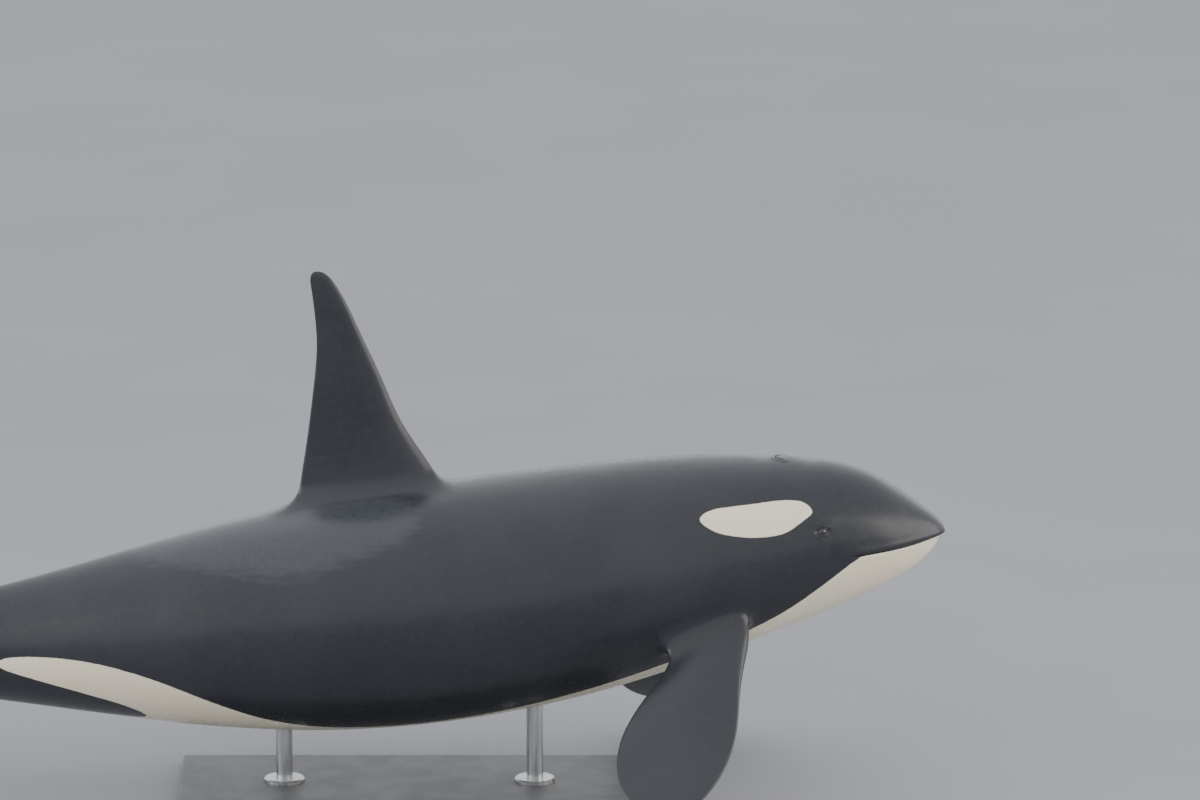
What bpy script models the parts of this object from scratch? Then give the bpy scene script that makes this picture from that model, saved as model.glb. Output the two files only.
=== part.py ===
"""A life-size display model of a bull orca, swimming level with its nose a little up, as it surfaces.

The body is one lofted skin round a gently bent spine, parted by thin cuts across it. The dorsal fin,
the flippers and the flukes grow from openings in that skin through a fillet. A flat base and two short
rods hold the animal up. The frame is in metres: X runs towards the nose, Z is up, the plane Y = 0
halves the animal, and the origin is the middle of the base's underside.
"""

import math

import bmesh
import bpy
import numpy as np

BODY_LENGTH = 6.8  # from the tip of the snout to the notch between the flukes, along the spine
FIN_HEIGHT = 1.27  # of the dorsal fin, square to the back
FLIPPER_LENGTH = 1.07  # its reach square to the flank
FLUKE_HALF_SPAN = 1.06
BASE_SIZE = (2.50, 1.10, 0.045)
BASE_EDGE = 0.012  # the bevel round the base
ROD_RADIUS = 0.045
ROD_SPREAD = 1.36  # between the two rods, along X
FOOT_RADIUS = 0.11
FOOT_HEIGHT = 0.022
SPINE_HEIGHT = 1.06  # of the spine above the floor, over the middle of the base
SPINE_OVER_BASE = 0.43  # the station that stands over the middle of the base
GAP = 0.0003  # between pieces that touch
HALF_GAP = GAP / 2
WELD = 1e-5

# Stations are shares of the body's length from the snout. The spine's pitch is in degrees, nose up.
PITCH = (
    (0.00, 4.5),
    (0.08, 6.4),
    (0.16, 8.0),
    (0.25, 8.5),
    (0.40, 7.8),
    (0.55, 6.8),
    (0.70, 5.0),
    (0.85, 2.0),
    (1.00, -2.0),
)

# Shares of the body's length: the station, the back above the spine, the belly below it, the half
# width, and the level of the widest point. The last two are how narrow the back and the belly are:
# 1 is round, less is fuller, and more is drawn up to a keel.
BODY = (
    (0.000, 0.0000, 0.0000, 0.0000, 0.0000, 0.85, 0.85),
    (0.012, 0.0176, 0.0172, 0.0200, 0.0000, 0.86, 0.84),
    (0.030, 0.0335, 0.0283, 0.0325, 0.0005, 0.90, 0.84),
    (0.055, 0.0525, 0.0385, 0.0435, 0.0015, 0.94, 0.86),
    (0.085, 0.0653, 0.0483, 0.0527, 0.0020, 0.97, 0.88),
    (0.130, 0.0749, 0.0608, 0.0645, 0.0015, 1.00, 0.92),
    (0.200, 0.0842, 0.0770, 0.0785, -0.0020, 1.00, 0.96),
    (0.280, 0.0887, 0.0915, 0.0890, -0.0060, 1.00, 1.00),
    (0.360, 0.0905, 0.0990, 0.0930, -0.0080, 1.00, 1.00),
    (0.440, 0.0900, 0.1000, 0.0915, -0.0070, 1.00, 1.00),
    (0.540, 0.0835, 0.0915, 0.0805, -0.0040, 1.05, 1.02),
    (0.640, 0.0685, 0.0730, 0.0620, -0.0010, 1.15, 1.10),
    (0.740, 0.0490, 0.0510, 0.0415, 0.0000, 1.28, 1.25),
    (0.840, 0.0320, 0.0325, 0.0240, 0.0000, 1.35, 1.35),
    (0.920, 0.0200, 0.0200, 0.0140, 0.0000, 1.30, 1.30),
    (0.965, 0.0105, 0.0105, 0.0085, 0.0000, 1.20, 1.20),
    (0.990, 0.0030, 0.0030, 0.0035, 0.0000, 1.00, 1.00),
)

# The cuts across the body, and the number of rings in each length.
NECK, WAIST, LOIN, STOCK = 0.145, 0.315, 0.560, 0.740
SNOUT_RINGS, JAW_RINGS, THROAT_RINGS, ABDOMEN_RINGS = 4, 9, 8, 6

# Columns run down each side from the back's midline to the belly's. One follows the line of the mouth.
COLUMNS_ABOVE, COLUMNS_BELOW = 13, 11
COLUMNS = COLUMNS_ABOVE + COLUMNS_BELOW
# The line of the mouth, in stations and in degrees round from the back.
MOUTH = ((0.000, 92.0), (0.020, 94.0), (0.040, 95.5), (0.060, 95.5), (0.078, 95.0))
MOUTH_CORNER = 0.078
SNOUT = 0.0001  # the first ring, where the rounded snout ends in a small flat
JAW_START = 0.005  # the station of the lower jaw's tip
LIP_OFFSETS = (0.013, 0.032)  # the two columns on each side of the line of the mouth
LIP_LEAST = 0.12  # radians to the nearer one where the snout is too narrow for its offset
LIP_FAR = 2.4  # times that to the farther one
LIP_GROOVE = 0.007
LIP_SWELL = 0.003
LIP_RISE = 0.015  # stations over which groove and lips grow behind the snout
LIP_FADE = 0.008  # stations over which they die out at the corner

# A fin's outline: the share of the way from its tip to its root as a square root, then in metres the
# leading edge ahead of its axis, the trailing edge ahead of it, and the thickness.
DORSAL = (
    (0.00, -0.022, -0.022, 0.000),
    (0.15, 0.034, -0.053, 0.020),
    (0.30, 0.079, -0.060, 0.030),
    (0.45, 0.123, -0.067, 0.042),
    (0.60, 0.170, -0.090, 0.056),
    (0.75, 0.231, -0.154, 0.074),
    (0.88, 0.294, -0.231, 0.095),
    (1.00, 0.408, -0.320, 0.125),
)
FLIPPER = (
    (0.00, -0.500, -0.500, 0.000),
    (0.22, -0.340, -0.610, 0.024),
    (0.40, -0.200, -0.680, 0.038),
    (0.55, -0.090, -0.710, 0.050),
    (0.70, 0.000, -0.680, 0.066),
    (0.82, 0.065, -0.580, 0.086),
    (0.92, 0.140, -0.410, 0.108),
    (1.00, 0.215, -0.225, 0.130),
)
FLUKE = (
    (0.00, -0.190, -0.190, 0.000),
    (0.18, -0.105, -0.165, 0.014),
    (0.35, 0.000, -0.130, 0.022),
    (0.50, 0.097, -0.105, 0.030),
    (0.65, 0.200, -0.090, 0.040),
    (0.80, 0.310, -0.078, 0.054),
    (0.90, 0.382, -0.052, 0.068),
    (1.00, 0.468, 0.000, 0.088),
)
DORSAL_ROOT, FLIPPER_ROOT, FLUKE_ROOT = 0.10, 0.13, 0.17  # the root sections, out along each axis
DORSAL_OPENING = (0.381, 0.532)  # stations of the openings in the skin
FLIPPER_OPENING = (0.160, 0.238)
FLUKE_OPENING = (0.905, 0.988)
TAIL_END = 0.990  # of the stock, at the bottom of the notch between the flukes
DORSAL_COLUMNS = 2  # the half width of its opening
FLIPPER_COLUMNS = (15, 18)
FLUKE_COLUMNS = (7, 17)
FLIPPER_DROP = 42.0  # degrees below level
FLUKE_DROOP = 0.09  # of the tip below the root
FIN_ROWS, FILLET_ROWS = 12, 3
TRAILING_EDGE = 0.010  # the least thickness near it
THINNING = 0.3  # the place from which even that thins away to the tip
TIP_CROWDING = 0.75  # the power that sets the rows of a fin closer near its tip
NOSE_ANGLE, HEEL_ANGLE = 18.0, 166.0  # where a section's rounded ends begin, in degrees round it
# A fin's half thickness, as the usual polynomial of an aerofoil over the root of the chord.
FOIL = ((0.5, 1.4845), (1, -0.63), (2, -1.758), (3, 1.4215), (4, -0.518))
# A fillet's handles: along the skin as a share of the way to the fin, and up the fin's wall as a share
# of the height, with the first held back near the body's middle.
FILLET_ALONG, FILLET_UP, FILLET_ROOM = 0.55, 0.6, 0.6
WALL_PLACE = 0.97  # of the section that shows how the fin's wall leans at its root

# The eye, above and behind the corner of the mouth.
EYE_STATION, EYE_LEVEL = 0.096, 0.150  # the level is in metres over the spine
EYE_RADIUS = 0.026
EYE_SINK = 0.020  # of its centre below the skin
LID_LENGTH, LID_HEIGHT = 0.028, 0.018  # half sizes of the line along the lids
LID_WIDTH, LID_RISE = 0.015, 0.006
LID_BEND = 0.6  # how fast the line falls back from the eye's plane, per metre
LID_POINT = 0.3  # how pointed the eye's two corners are
LID_POINTS, LID_SIDES = 24, 7
EYE_SEGMENTS = 20

# The blowhole: a crescent on the crown, with its horns forward.
BLOWHOLE_STATION = 0.118
BLOWHOLE_RADIUS = 0.055
BLOWHOLE_SPAN = 75.0  # degrees of arc to each side
BLOWHOLE_WIDTH, BLOWHOLE_DEPTH = 0.014, 0.030
BLOWHOLE_RIM, BLOWHOLE_RISE = 0.018, 0.006
BLOWHOLE_POINTS = 10

ROD_SEGMENTS = 24
FOOT_BEVEL = 0.3  # of the foot's height
SHARP_ANGLE = 50.0  # edges sharper than this, in degrees, aren't shaded smooth


def smooth_curve(knots, values):
    """The natural cubic spline through values at knots, as a function of one place or of many."""
    knots, values = np.array(knots, float), np.array(values, float)
    steps = np.diff(knots)
    slopes = np.diff(values) / steps
    matrix = np.eye(len(knots))
    right = np.zeros(len(knots))
    for i in range(1, len(knots) - 1):
        matrix[i, i - 1 : i + 2] = steps[i - 1], 2 * (steps[i - 1] + steps[i]), steps[i]
        right[i] = 6 * (slopes[i] - slopes[i - 1])
    bends = np.linalg.solve(matrix, right)

    def at(place):
        i = np.clip(np.searchsorted(knots, place) - 1, 0, len(steps) - 1)
        ahead, behind, step = knots[i + 1] - place, place - knots[i], steps[i]
        return (
            (bends[i] * ahead**3 + bends[i + 1] * behind**3) / (6 * step)
            + (values[i] / step - bends[i] * step / 6) * ahead
            + (values[i + 1] / step - bends[i + 1] * step / 6) * behind
        )

    return at


def eased(share):
    """Rises smoothly from 0 to 1."""
    share = np.clip(share, 0.0, 1.0)
    return share * share * (3 - 2 * share)


def unit(vectors):
    return vectors / np.linalg.norm(vectors, axis=-1, keepdims=True)


# The body is rounded at the snout, so its curves run over the square root of the station.
body_curves = [smooth_curve([math.sqrt(row[0]) for row in BODY], column) for column in list(zip(*BODY))[1:]]
pitch_curve = smooth_curve(*zip(*PITCH))
mouth_curve = smooth_curve(*zip(*MOUTH))


def make_spine(samples=400):
    """The spine's stations and points, laid so that it passes over the middle of the base."""
    stations = np.linspace(0.0, 1.0, samples + 1)
    pitch = np.radians(pitch_curve((stations[:-1] + stations[1:]) / 2))
    steps = -BODY_LENGTH / samples * np.stack([np.cos(pitch), np.sin(pitch)], axis=1)
    points = np.concatenate([[[0.0, 0.0]], np.cumsum(steps, axis=0)])
    over = [np.interp(SPINE_OVER_BASE, stations, points[:, i]) for i in range(2)]
    return stations, points - over + [0.0, SPINE_HEIGHT]


spine_stations, spine_points = make_spine()


def spine_frame(station):
    """The spine's point, its direction towards the head, and its up direction."""
    x, z = (np.interp(station, spine_stations, spine_points[:, i]) for i in range(2))
    pitch = math.radians(float(pitch_curve(station)))
    forward = np.array([math.cos(pitch), 0.0, math.sin(pitch)])
    up = np.array([-math.sin(pitch), 0.0, math.cos(pitch)])
    return np.array([x, 0.0, z]), forward, up


def section_point(station, angle):
    """(y, height over the spine) on the right side's skin, angle radians round from the back."""
    back, belly, width, level, narrow_back, narrow_belly = (
        float(curve(math.sqrt(station))) for curve in body_curves
    )
    above = angle < math.pi / 2
    side = max(math.sin(angle), 0.0) ** (narrow_back if above else narrow_belly)
    reach = back - level if above else belly + level
    return -BODY_LENGTH * width * side, BODY_LENGTH * (level + reach * math.cos(angle))


def column_angles(station):
    """The angles of the columns at a station. Near the mouth they crowd round its line."""
    even = np.linspace(0.0, math.pi, COLUMNS + 1)
    if station >= NECK:
        return even
    line = math.radians(float(mouth_curve(min(station, MOUTH_CORNER))))
    width = BODY_LENGTH * float(body_curves[2](math.sqrt(station)))
    near, far = (min(offset / width, LIP_LEAST * i) for i, offset in zip((1, LIP_FAR), LIP_OFFSETS))
    above = [*np.linspace(0.0, line - far, COLUMNS_ABOVE - 1), line - near, line]
    below = [line + near, *np.linspace(line + far, math.pi, COLUMNS_BELOW - 1)]
    share = eased((station - MOUTH_CORNER) / (NECK - MOUTH_CORNER))
    return (1 - share) * np.array(above + below) + share * even


def skin_point(station, angle, lift=0.0):
    """A point of the right side's skin, or lift metres over it."""
    centre, _, up = spine_frame(station)
    y, height = section_point(station, angle)
    point = centre + np.array([0.0, y, 0.0]) + height * up
    return point + lift * skin_normal(station, angle) if lift else point


def skin_normal(station, angle, step=1e-3):
    """The skin's outward direction on the right side."""
    low, high = max(station - step, 1e-4), min(station + step, TAIL_END)
    along = skin_point(low, angle) - skin_point(high, angle)
    around = skin_point(station, angle + step) - skin_point(station, angle - step)
    return unit(np.cross(around, along))


def ring(station):
    """The right half of the skin at a station, from the back's midline to the belly's."""
    points = [skin_point(station, angle) for angle in column_angles(station)]
    points[0][1] = points[-1][1] = 0.0
    fade = 1 - eased((station - MOUTH_CORNER) / LIP_FADE + 1)
    if fade > 0.0:
        angles = column_angles(station)
        for column, lift in lip_lifts(min(1.0, station / LIP_RISE)):
            points[column] += fade * lift * skin_normal(station, angles[column])
    return np.array(points)


def lip_lifts(share):
    """The column numbers near the line of the mouth, and how far the lips lift or sink each."""
    yield COLUMNS_ABOVE, -LIP_GROOVE * share
    yield COLUMNS_ABOVE - 1, LIP_SWELL * share
    yield COLUMNS_ABOVE + 1, LIP_SWELL * share


def fan(row):
    """The flat cap that fills the midline side of a row of points."""
    middle = row.mean(axis=0)
    middle[1] = 0.0
    return [row, np.tile(middle, (len(row), 1))]


def closed_fan(loop):
    """The cap that fills a closed loop of points."""
    return [loop, np.tile(loop[:-1].mean(axis=0), (len(loop), 1))]


def bezier(start, leave, arrive, end, count):
    """Rows along the cubics from the points of start to those of end."""
    rows = []
    for t in np.linspace(0.0, 1.0, count + 1):
        s = 1 - t
        rows.append(s**3 * start + 3 * s * s * t * leave + 3 * s * t * t * arrive + t**3 * end)
    return rows


def fin_section(row_count, column_count, half):
    """Places round a fin's section: the share of the chord from the leading edge, and the thickness.

    A half section runs from the leading edge down one side to the trailing edge. A whole one starts at
    the upper corner of the leading edge and goes round it, so that it matches an opening's border.
    """
    nose, heel = math.radians(NOSE_ANGLE), math.radians(HEEL_ANGLE)
    side = np.linspace(nose, heel, row_count + 1)
    if half:
        front = np.linspace(0.0, nose, column_count + 1)[:-1]
        rear = np.linspace(heel, math.pi, column_count + 1)[1:]
        angles = np.concatenate([front, side, rear])
    else:
        front = np.linspace(-nose, nose, column_count + 1)[:-1]
        rear = np.linspace(heel, 2 * math.pi - heel, column_count + 1)[1:-1]
        angles = np.concatenate([front, side, rear, 2 * math.pi - side[::-1]])
    chord = (1 - np.cos(angles)) / 2
    foil = sum(factor * chord**power for power, factor in FOIL)
    edge = np.sqrt(chord) * np.minimum(1.0, np.abs(np.cos(angles / 2)) / math.cos(heel / 2))
    sign = np.where(np.sin(angles) >= 0, 1.0, -1.0)
    return chord, sign * foil, sign * edge


class Fin:
    """A fin's sections, placed by its frame: origin, forward, out along its axis, and its side."""

    def __init__(self, outline, length, root, frame, counts, half=False, droop=0.0):
        places = [row[0] for row in outline]
        self.curves = [smooth_curve(places, column) for column in list(zip(*outline))[1:]]
        self.length, self.root, self.droop = length, root, droop
        self.origin, self.forward, self.out, self.side = frame
        self.chord, self.foil, self.edge = fin_section(*counts, half)

    def section(self, place, gap=0.0):
        """The section at a place from 0 at the tip to 1 at the root, or gap metres further out."""
        reach = self.length - (self.length - self.root) * place**2
        leading, trailing, thickness = (float(curve(place)) for curve in self.curves)
        ahead = leading + (trailing - leading) * self.chord
        least = TRAILING_EDGE / 2 * min(1.0, place / THINNING)
        across = max(thickness, 0.0) * self.foil + least * self.edge
        across = across - self.droop * ((reach - self.root) / (self.length - self.root)) ** 2
        return (
            self.origin
            + np.outer(ahead, self.forward)
            + (reach + gap) * self.out
            + np.outer(across, self.side)
        )

    def blade(self, rows):
        """The rows from the root section to the tip."""
        places = np.linspace(1.0, 0.0, rows + 1) ** TIP_CROWDING
        return [self.section(place, HALF_GAP * place) for place in places]

    def fillet(self, border, normals, rows):
        """The rows that carry the skin from an opening's border up to the root section."""
        end = self.section(1.0, -HALF_GAP)
        wall = unit(unit(end - self.section(WALL_PLACE)) - 2 * self.out)
        away = end - border
        height = np.sum(away * normals, axis=1)[:, None]
        along = FILLET_ALONG * (away - height * normals)
        room = FILLET_ROOM * np.abs((border - self.origin) @ self.side)
        along *= np.minimum(1.0, room / (np.abs(along @ self.side) + WELD))[:, None]
        return bezier(border, border + along, end + FILLET_UP * np.abs(height) * wall, end, rows)


def opening_border(rings, first, last, low, high):
    """The closed border of the opening between two rings and two columns, from its upper front corner."""
    front = [rings[first][j] for j in range(low, high)]
    lower = [rings[i][high] for i in range(first, last)]
    rear = [rings[last][j] for j in range(high, low, -1)]
    upper = [rings[i][low] for i in range(last, first - 1, -1)]
    return np.array(front + lower + rear + upper)


def opening_normals(stations, first, last, low, high):
    """The skin's normals along opening_border."""
    normals = [[skin_normal(station, angle) for angle in column_angles(station)] for station in stations]
    return opening_border(normals, first, last, low, high)


def stations_between(start, end, count):
    return list(np.linspace(start, end, count + 1))


def dorsal_frame():
    """The fin stands square on the back, over the middle of its opening."""
    front, rear = (skin_point(station, 0.0) for station in DORSAL_OPENING)
    forward = unit(front - rear)
    out = np.array([-forward[2], 0.0, forward[0]])
    return (front + rear) / 2, forward, out, np.array([0.0, -1.0, 0.0])


def flipper_frame():
    """The flipper reaches out and down from the lower flank."""
    angle = math.pi * sum(FLIPPER_COLUMNS) / 2 / COLUMNS
    front, rear = (skin_point(station, angle) for station in FLIPPER_OPENING)
    forward = unit(front - rear)
    up = spine_frame(sum(FLIPPER_OPENING) / 2)[2]
    drop = math.radians(FLIPPER_DROP)
    reach = -math.sin(drop) * up - math.cos(drop) * np.array([0.0, 1.0, 0.0])
    out = unit(reach - forward * np.dot(reach, forward))
    return (front + rear) / 2, forward, out, np.cross(forward, out)


def fluke_frame():
    """The fluke spreads level from the stock's end, with the notch at its origin."""
    notch, ahead, up = spine_frame(1.0)
    return notch, ahead, np.array([0.0, -1.0, 0.0]), -up


def new_object(name, mesh, material):
    obj = bpy.data.objects.new(name, mesh)
    bpy.context.scene.collection.objects.link(obj)
    if material:
        mesh.materials.append(material)
    return obj


def welded_mesh(name, patches, mirrored):
    """One closed mesh from patches of rows of points, and from their mirror image if it is wanted."""
    made = bmesh.new()
    for rows in patches:
        grid = [[made.verts.new(point) for point in row] for row in rows]
        for upper, lower in zip(grid, grid[1:]):
            for j in range(len(upper) - 1):
                made.faces.new((upper[j], upper[j + 1], lower[j + 1], lower[j]))
    if mirrored:
        copy = bmesh.ops.duplicate(made, geom=made.verts[:] + made.edges[:] + made.faces[:])
        for vert in (item for item in copy["geom"] if isinstance(item, bmesh.types.BMVert)):
            vert.co.y = -vert.co.y
    bmesh.ops.remove_doubles(made, verts=made.verts, dist=WELD)
    bmesh.ops.dissolve_degenerate(made, dist=WELD, edges=made.edges)
    bmesh.ops.recalc_face_normals(made, faces=made.faces)
    if made.calc_volume(signed=True) < 0:
        bmesh.ops.reverse_faces(made, faces=made.faces)
    mesh = bpy.data.meshes.new(name)
    made.to_mesh(mesh)
    made.free()
    mesh.shade_smooth()
    mesh.set_sharp_from_angle(angle=math.radians(SHARP_ANGLE))
    return mesh


def mirror_mesh(mesh, name):
    """The left side's copy of a right side's mesh."""
    copy = mesh.copy()
    copy.name = name
    for vert in copy.vertices:
        vert.co.y = -vert.co.y
    copy.flip_normals()
    return copy


def with_opening(rings, first, last, low, high):
    """Patches of the skin that leave an opening between two rings and two columns."""
    side = [row[low : high + 1] for row in rings]
    patches = [side[: first + 1], side[last:]]
    if low > 0:
        patches.append([row[: low + 1] for row in rings])
    patches.append([row[high:] for row in rings])
    return [patch for patch in patches if len(patch) > 1]


def opening_stations(start, end, opening, before, inside, after):
    """Stations from start to end with the opening's two among them."""
    first, last = opening
    return (
        list(np.linspace(start, first, before + 1))
        + list(np.linspace(first, last, inside + 1))[1:]
        + list(np.linspace(last, end, after + 1))[1:]
    )


def rings_at(stations):
    """The rings of a length of the body, with its two cut ends drawn in by half a gap."""
    rings = [ring(station) for station in stations]
    if stations[0] > 0.0:
        rings[0] = rings[0] - HALF_GAP * spine_frame(stations[0])[1]
    if stations[-1] < TAIL_END:
        rings[-1] = rings[-1] + HALF_GAP * spine_frame(stations[-1])[1]
    return rings


def palate_row(points, lift):
    """A half ring whose part below the line of the mouth is laid flat across it."""
    edge = points[COLUMNS_ABOVE]
    shares = np.linspace(1.0, 0.0, COLUMNS_BELOW + 1)[:, None]
    flat = edge * [1, 0, 1] + shares * (edge * [0, 1, 0])
    return np.concatenate([points[:COLUMNS_ABOVE], flat + lift])


def jaw_row(points, drop):
    """A half ring whose part above the line of the mouth is laid flat across it."""
    edge = points[COLUMNS_ABOVE]
    shares = np.linspace(0.0, 1.0, COLUMNS_ABOVE + 1)[:, None]
    flat = edge * [1, 0, 1] + shares * (edge * [0, 1, 0])
    return np.concatenate([flat + drop, points[COLUMNS_ABOVE + 1 :]])


def mouth_stations():
    """Stations from the snout to the corner of the mouth, closer near the snout."""
    jaw = [JAW_START + (MOUTH_CORNER - JAW_START) * (i / JAW_RINGS) ** 1.5 for i in range(JAW_RINGS + 1)]
    return [*np.geomspace(SNOUT, JAW_START, SNOUT_RINGS + 1)[:-1], *jaw]


def head_patches():
    """The head down to the palate, and behind the corner of the mouth down to the throat."""
    rows = [palate_row(ring(s), HALF_GAP * spine_frame(s)[2]) for s in mouth_stations()]
    whole = rings_at(stations_between(MOUTH_CORNER, NECK, THROAT_RINGS))
    whole[0] = ring(MOUTH_CORNER)
    return [fan(rows[0]), rows, [rows[-1], whole[0]], whole, fan(whole[-1])]


def jaw_patches():
    """The lower jaw, a little shorter than the snout, up to the line of the mouth."""
    rows = []
    for station in mouth_stations()[SNOUT_RINGS:]:
        share = (station - JAW_START) / (MOUTH_CORNER - JAW_START)
        points = ring(SNOUT + (MOUTH_CORNER - SNOUT) * share)
        onto = (ring(station)[COLUMNS_ABOVE] - points[COLUMNS_ABOVE]) * [1, 0, 1]
        rows.append(jaw_row(points + onto, -HALF_GAP * spine_frame(station)[2]))
    _, forward, up = spine_frame(MOUTH_CORNER)
    rows[-1] = rows[-1] + GAP * (forward - up)
    return [fan(rows[0]), rows, fan(rows[-1])]


def body_length(name, stations, material, openings=()):
    """One length of the body as an object, with any openings and their fillets and stumps."""
    rings = rings_at(stations)
    patches = [rings]
    for fin, opening, low, high, rows in openings:
        first, last = (stations.index(s) for s in opening)
        patches = with_opening(rings, first, last, low, high)
        border = opening_border(rings, first, last, low, high)
        normals = opening_normals(stations, first, last, low, high)
        if low == 0:  # the dorsal opening is halved by the midline, where its border starts and ends
            keep = 2 * (high - low) + last - first + 1
            border, normals = border[:keep], normals[:keep]
        fillet = fin.fillet(border, normals, rows)
        patches += [fillet, fan(fillet[-1]) if low == 0 else closed_fan(fillet[-1])]
    patches += [fan(rings[0]), fan(rings[-1])]
    return new_object(name, welded_mesh(name, patches, True), material)


def fin_object(name, fin, material, half=False):
    rows = fin.blade(FIN_ROWS)
    cap = fan(rows[0]) if half else closed_fan(rows[0])
    return new_object(name, welded_mesh(name, [rows, cap], half), material)


def make_material(name, colour, roughness, metallic=0.0):
    material = bpy.data.materials.new(name)
    material.use_nodes = True
    shader = material.node_tree.nodes["Principled BSDF"]
    shader.inputs["Base Color"].default_value = (*colour, 1.0)
    shader.inputs["Roughness"].default_value = roughness
    shader.inputs["Metallic"].default_value = metallic
    return material


def eye_frame():
    """The point of the right side's skin at the eye, the eye's forward, up and outward directions."""
    angles = np.linspace(math.radians(30), math.radians(110), 400)
    levels = [section_point(EYE_STATION, angle)[1] for angle in angles]
    angle = angles[int(np.argmin(np.abs(np.array(levels) - EYE_LEVEL)))]
    out = skin_normal(EYE_STATION, angle)
    ahead = spine_frame(EYE_STATION)[1]
    forward = unit(ahead - out * np.dot(ahead, out))
    return skin_point(EYE_STATION, angle), forward, np.cross(forward, out), out


def ridge(name, points, out):
    """A low round bead along a closed loop on the skin, with its root sunk in."""
    rows = []
    turns = np.linspace(0.0, 2 * math.pi, LID_SIDES + 1)
    ahead, behind = np.roll(points, -1, axis=0), np.roll(points, 1, axis=0)
    for here, along in zip(points, unit(ahead - behind)):
        across = LID_WIDTH / 2 * np.cross(out, along)
        rows.append(here + np.outer(np.cos(turns), across) + np.outer(LID_RISE * np.sin(turns), out))
    rows.append(rows[0])
    return new_object(name, welded_mesh(name, [rows], False), None)


def ball(name, centre, radius, axes, material=None):
    """A round ball whose pole points out along the last of axes."""
    turns = np.linspace(0.0, 2 * math.pi, EYE_SEGMENTS + 1)
    rows = []
    for rise in np.linspace(0.0, math.pi, EYE_SEGMENTS // 2 + 1):
        flat = [math.sin(rise) * (math.cos(t) * axes[0] + math.sin(t) * axes[1]) for t in turns]
        rows.append(np.array([centre + radius * (point + math.cos(rise) * axes[2]) for point in flat]))
    return new_object(name, welded_mesh(name, [np.array(rows)], False), material)


def lid_loop(point, forward, up, out):
    """An almond line round the eye, drawn on the skin."""
    turns = np.linspace(0.0, 2 * math.pi, LID_POINTS, endpoint=False)
    x = LID_LENGTH * np.cos(turns)
    z = LID_HEIGHT * np.sin(turns) * np.abs(np.sin(turns)) ** LID_POINT
    return point + np.outer(x, forward) + np.outer(z, up) - np.outer(LID_BEND * (x * x + z * z), out)


def blowhole_point(turn, radius):
    """A point of the crown's skin on the blowhole's arc, turn radians from its rearmost place."""
    station = BLOWHOLE_STATION + radius * math.cos(turn) / BODY_LENGTH
    y = radius * math.sin(turn)
    angles = np.linspace(0.0, math.radians(40), 200)
    ys = [-section_point(station, angle)[0] for angle in angles]
    angle = float(np.interp(abs(y), ys, angles))
    point, normal = skin_point(station, angle), skin_normal(station, max(angle, 0.01))
    side = np.array([1.0, -1.0 if y > 0 else 1.0, 1.0])
    return point * side, normal * side


def blowhole_loop(half_width, lift):
    """The crescent's closed outline, lift metres over the skin, with a point at each horn."""
    span = math.radians(BLOWHOLE_SPAN) + half_width / BLOWHOLE_RADIUS
    turns = np.linspace(-span, span, BLOWHOLE_POINTS + 1)
    widths = half_width * np.sqrt(np.clip(np.cos(turns / span * math.pi / 2), 0.0, 1.0))
    outer = [blowhole_point(turn, BLOWHOLE_RADIUS + width) for turn, width in zip(turns, widths)]
    inner = [blowhole_point(turn, BLOWHOLE_RADIUS - width) for turn, width in zip(turns, widths)]
    return np.array([point + lift * out for point, out in outer + inner[-2::-1]])


def crescent(name, loops):
    """A closed mesh through crescent loops, the first and last of them filled."""
    half = len(loops[0]) // 2
    caps = [[loop[: half + 1], loop[: half - 1 : -1]] for loop in (loops[0], loops[-1])]
    return new_object(name, welded_mesh(name, [loops, *caps], False), None)


def make_blowhole_tools():
    """The soft pad round the blowhole, and the slit to cut in it."""
    slit, rim = BLOWHOLE_WIDTH / 2, BLOWHOLE_WIDTH / 2 + BLOWHOLE_RIM
    pad = [blowhole_loop(rim, -BLOWHOLE_RIM), blowhole_loop(rim, 0.0)]
    pad.append(blowhole_loop((slit + rim) / 2, BLOWHOLE_RISE))
    cut = [blowhole_loop(slit, -BLOWHOLE_DEPTH), blowhole_loop(slit, BLOWHOLE_DEPTH)]
    return crescent("blowhole_pad", pad), crescent("blowhole_slit", cut)


def boolean(obj, operation, others):
    """Joins a collection of closed meshes to an object, or cuts them from it, and removes them."""
    tools = bpy.data.collections.new("tools")
    bpy.context.scene.collection.children.link(tools)
    for other in others:
        tools.objects.link(other)
    modifier = obj.modifiers.new(operation.lower(), "BOOLEAN")
    modifier.operation, modifier.operand_type, modifier.collection = operation, "COLLECTION", tools
    modifier.solver = "EXACT"
    bpy.context.view_layer.update()
    graph = bpy.context.evaluated_depsgraph_get()
    result = bpy.data.meshes.new_from_object(obj.evaluated_get(graph), depsgraph=graph)
    obj.modifiers.clear()
    obj.data = result
    for other in others:
        bpy.data.objects.remove(other)
    bpy.data.collections.remove(tools)


def largest_piece(obj):
    """Keeps an object's largest closed surface."""
    made = bmesh.new()
    made.from_mesh(obj.data)
    left, pieces = set(made.faces), []
    while left:
        piece, edge = set(), [left.pop()]
        while edge:
            face = edge.pop()
            piece.add(face)
            near = {other for e in face.edges for other in e.link_faces} & left
            left -= near
            edge.extend(near)
        pieces.append(piece)
    keep = max(pieces, key=len)
    bmesh.ops.delete(made, geom=[f for f in made.faces if f not in keep], context="FACES")
    made.to_mesh(obj.data)
    made.free()


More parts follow.
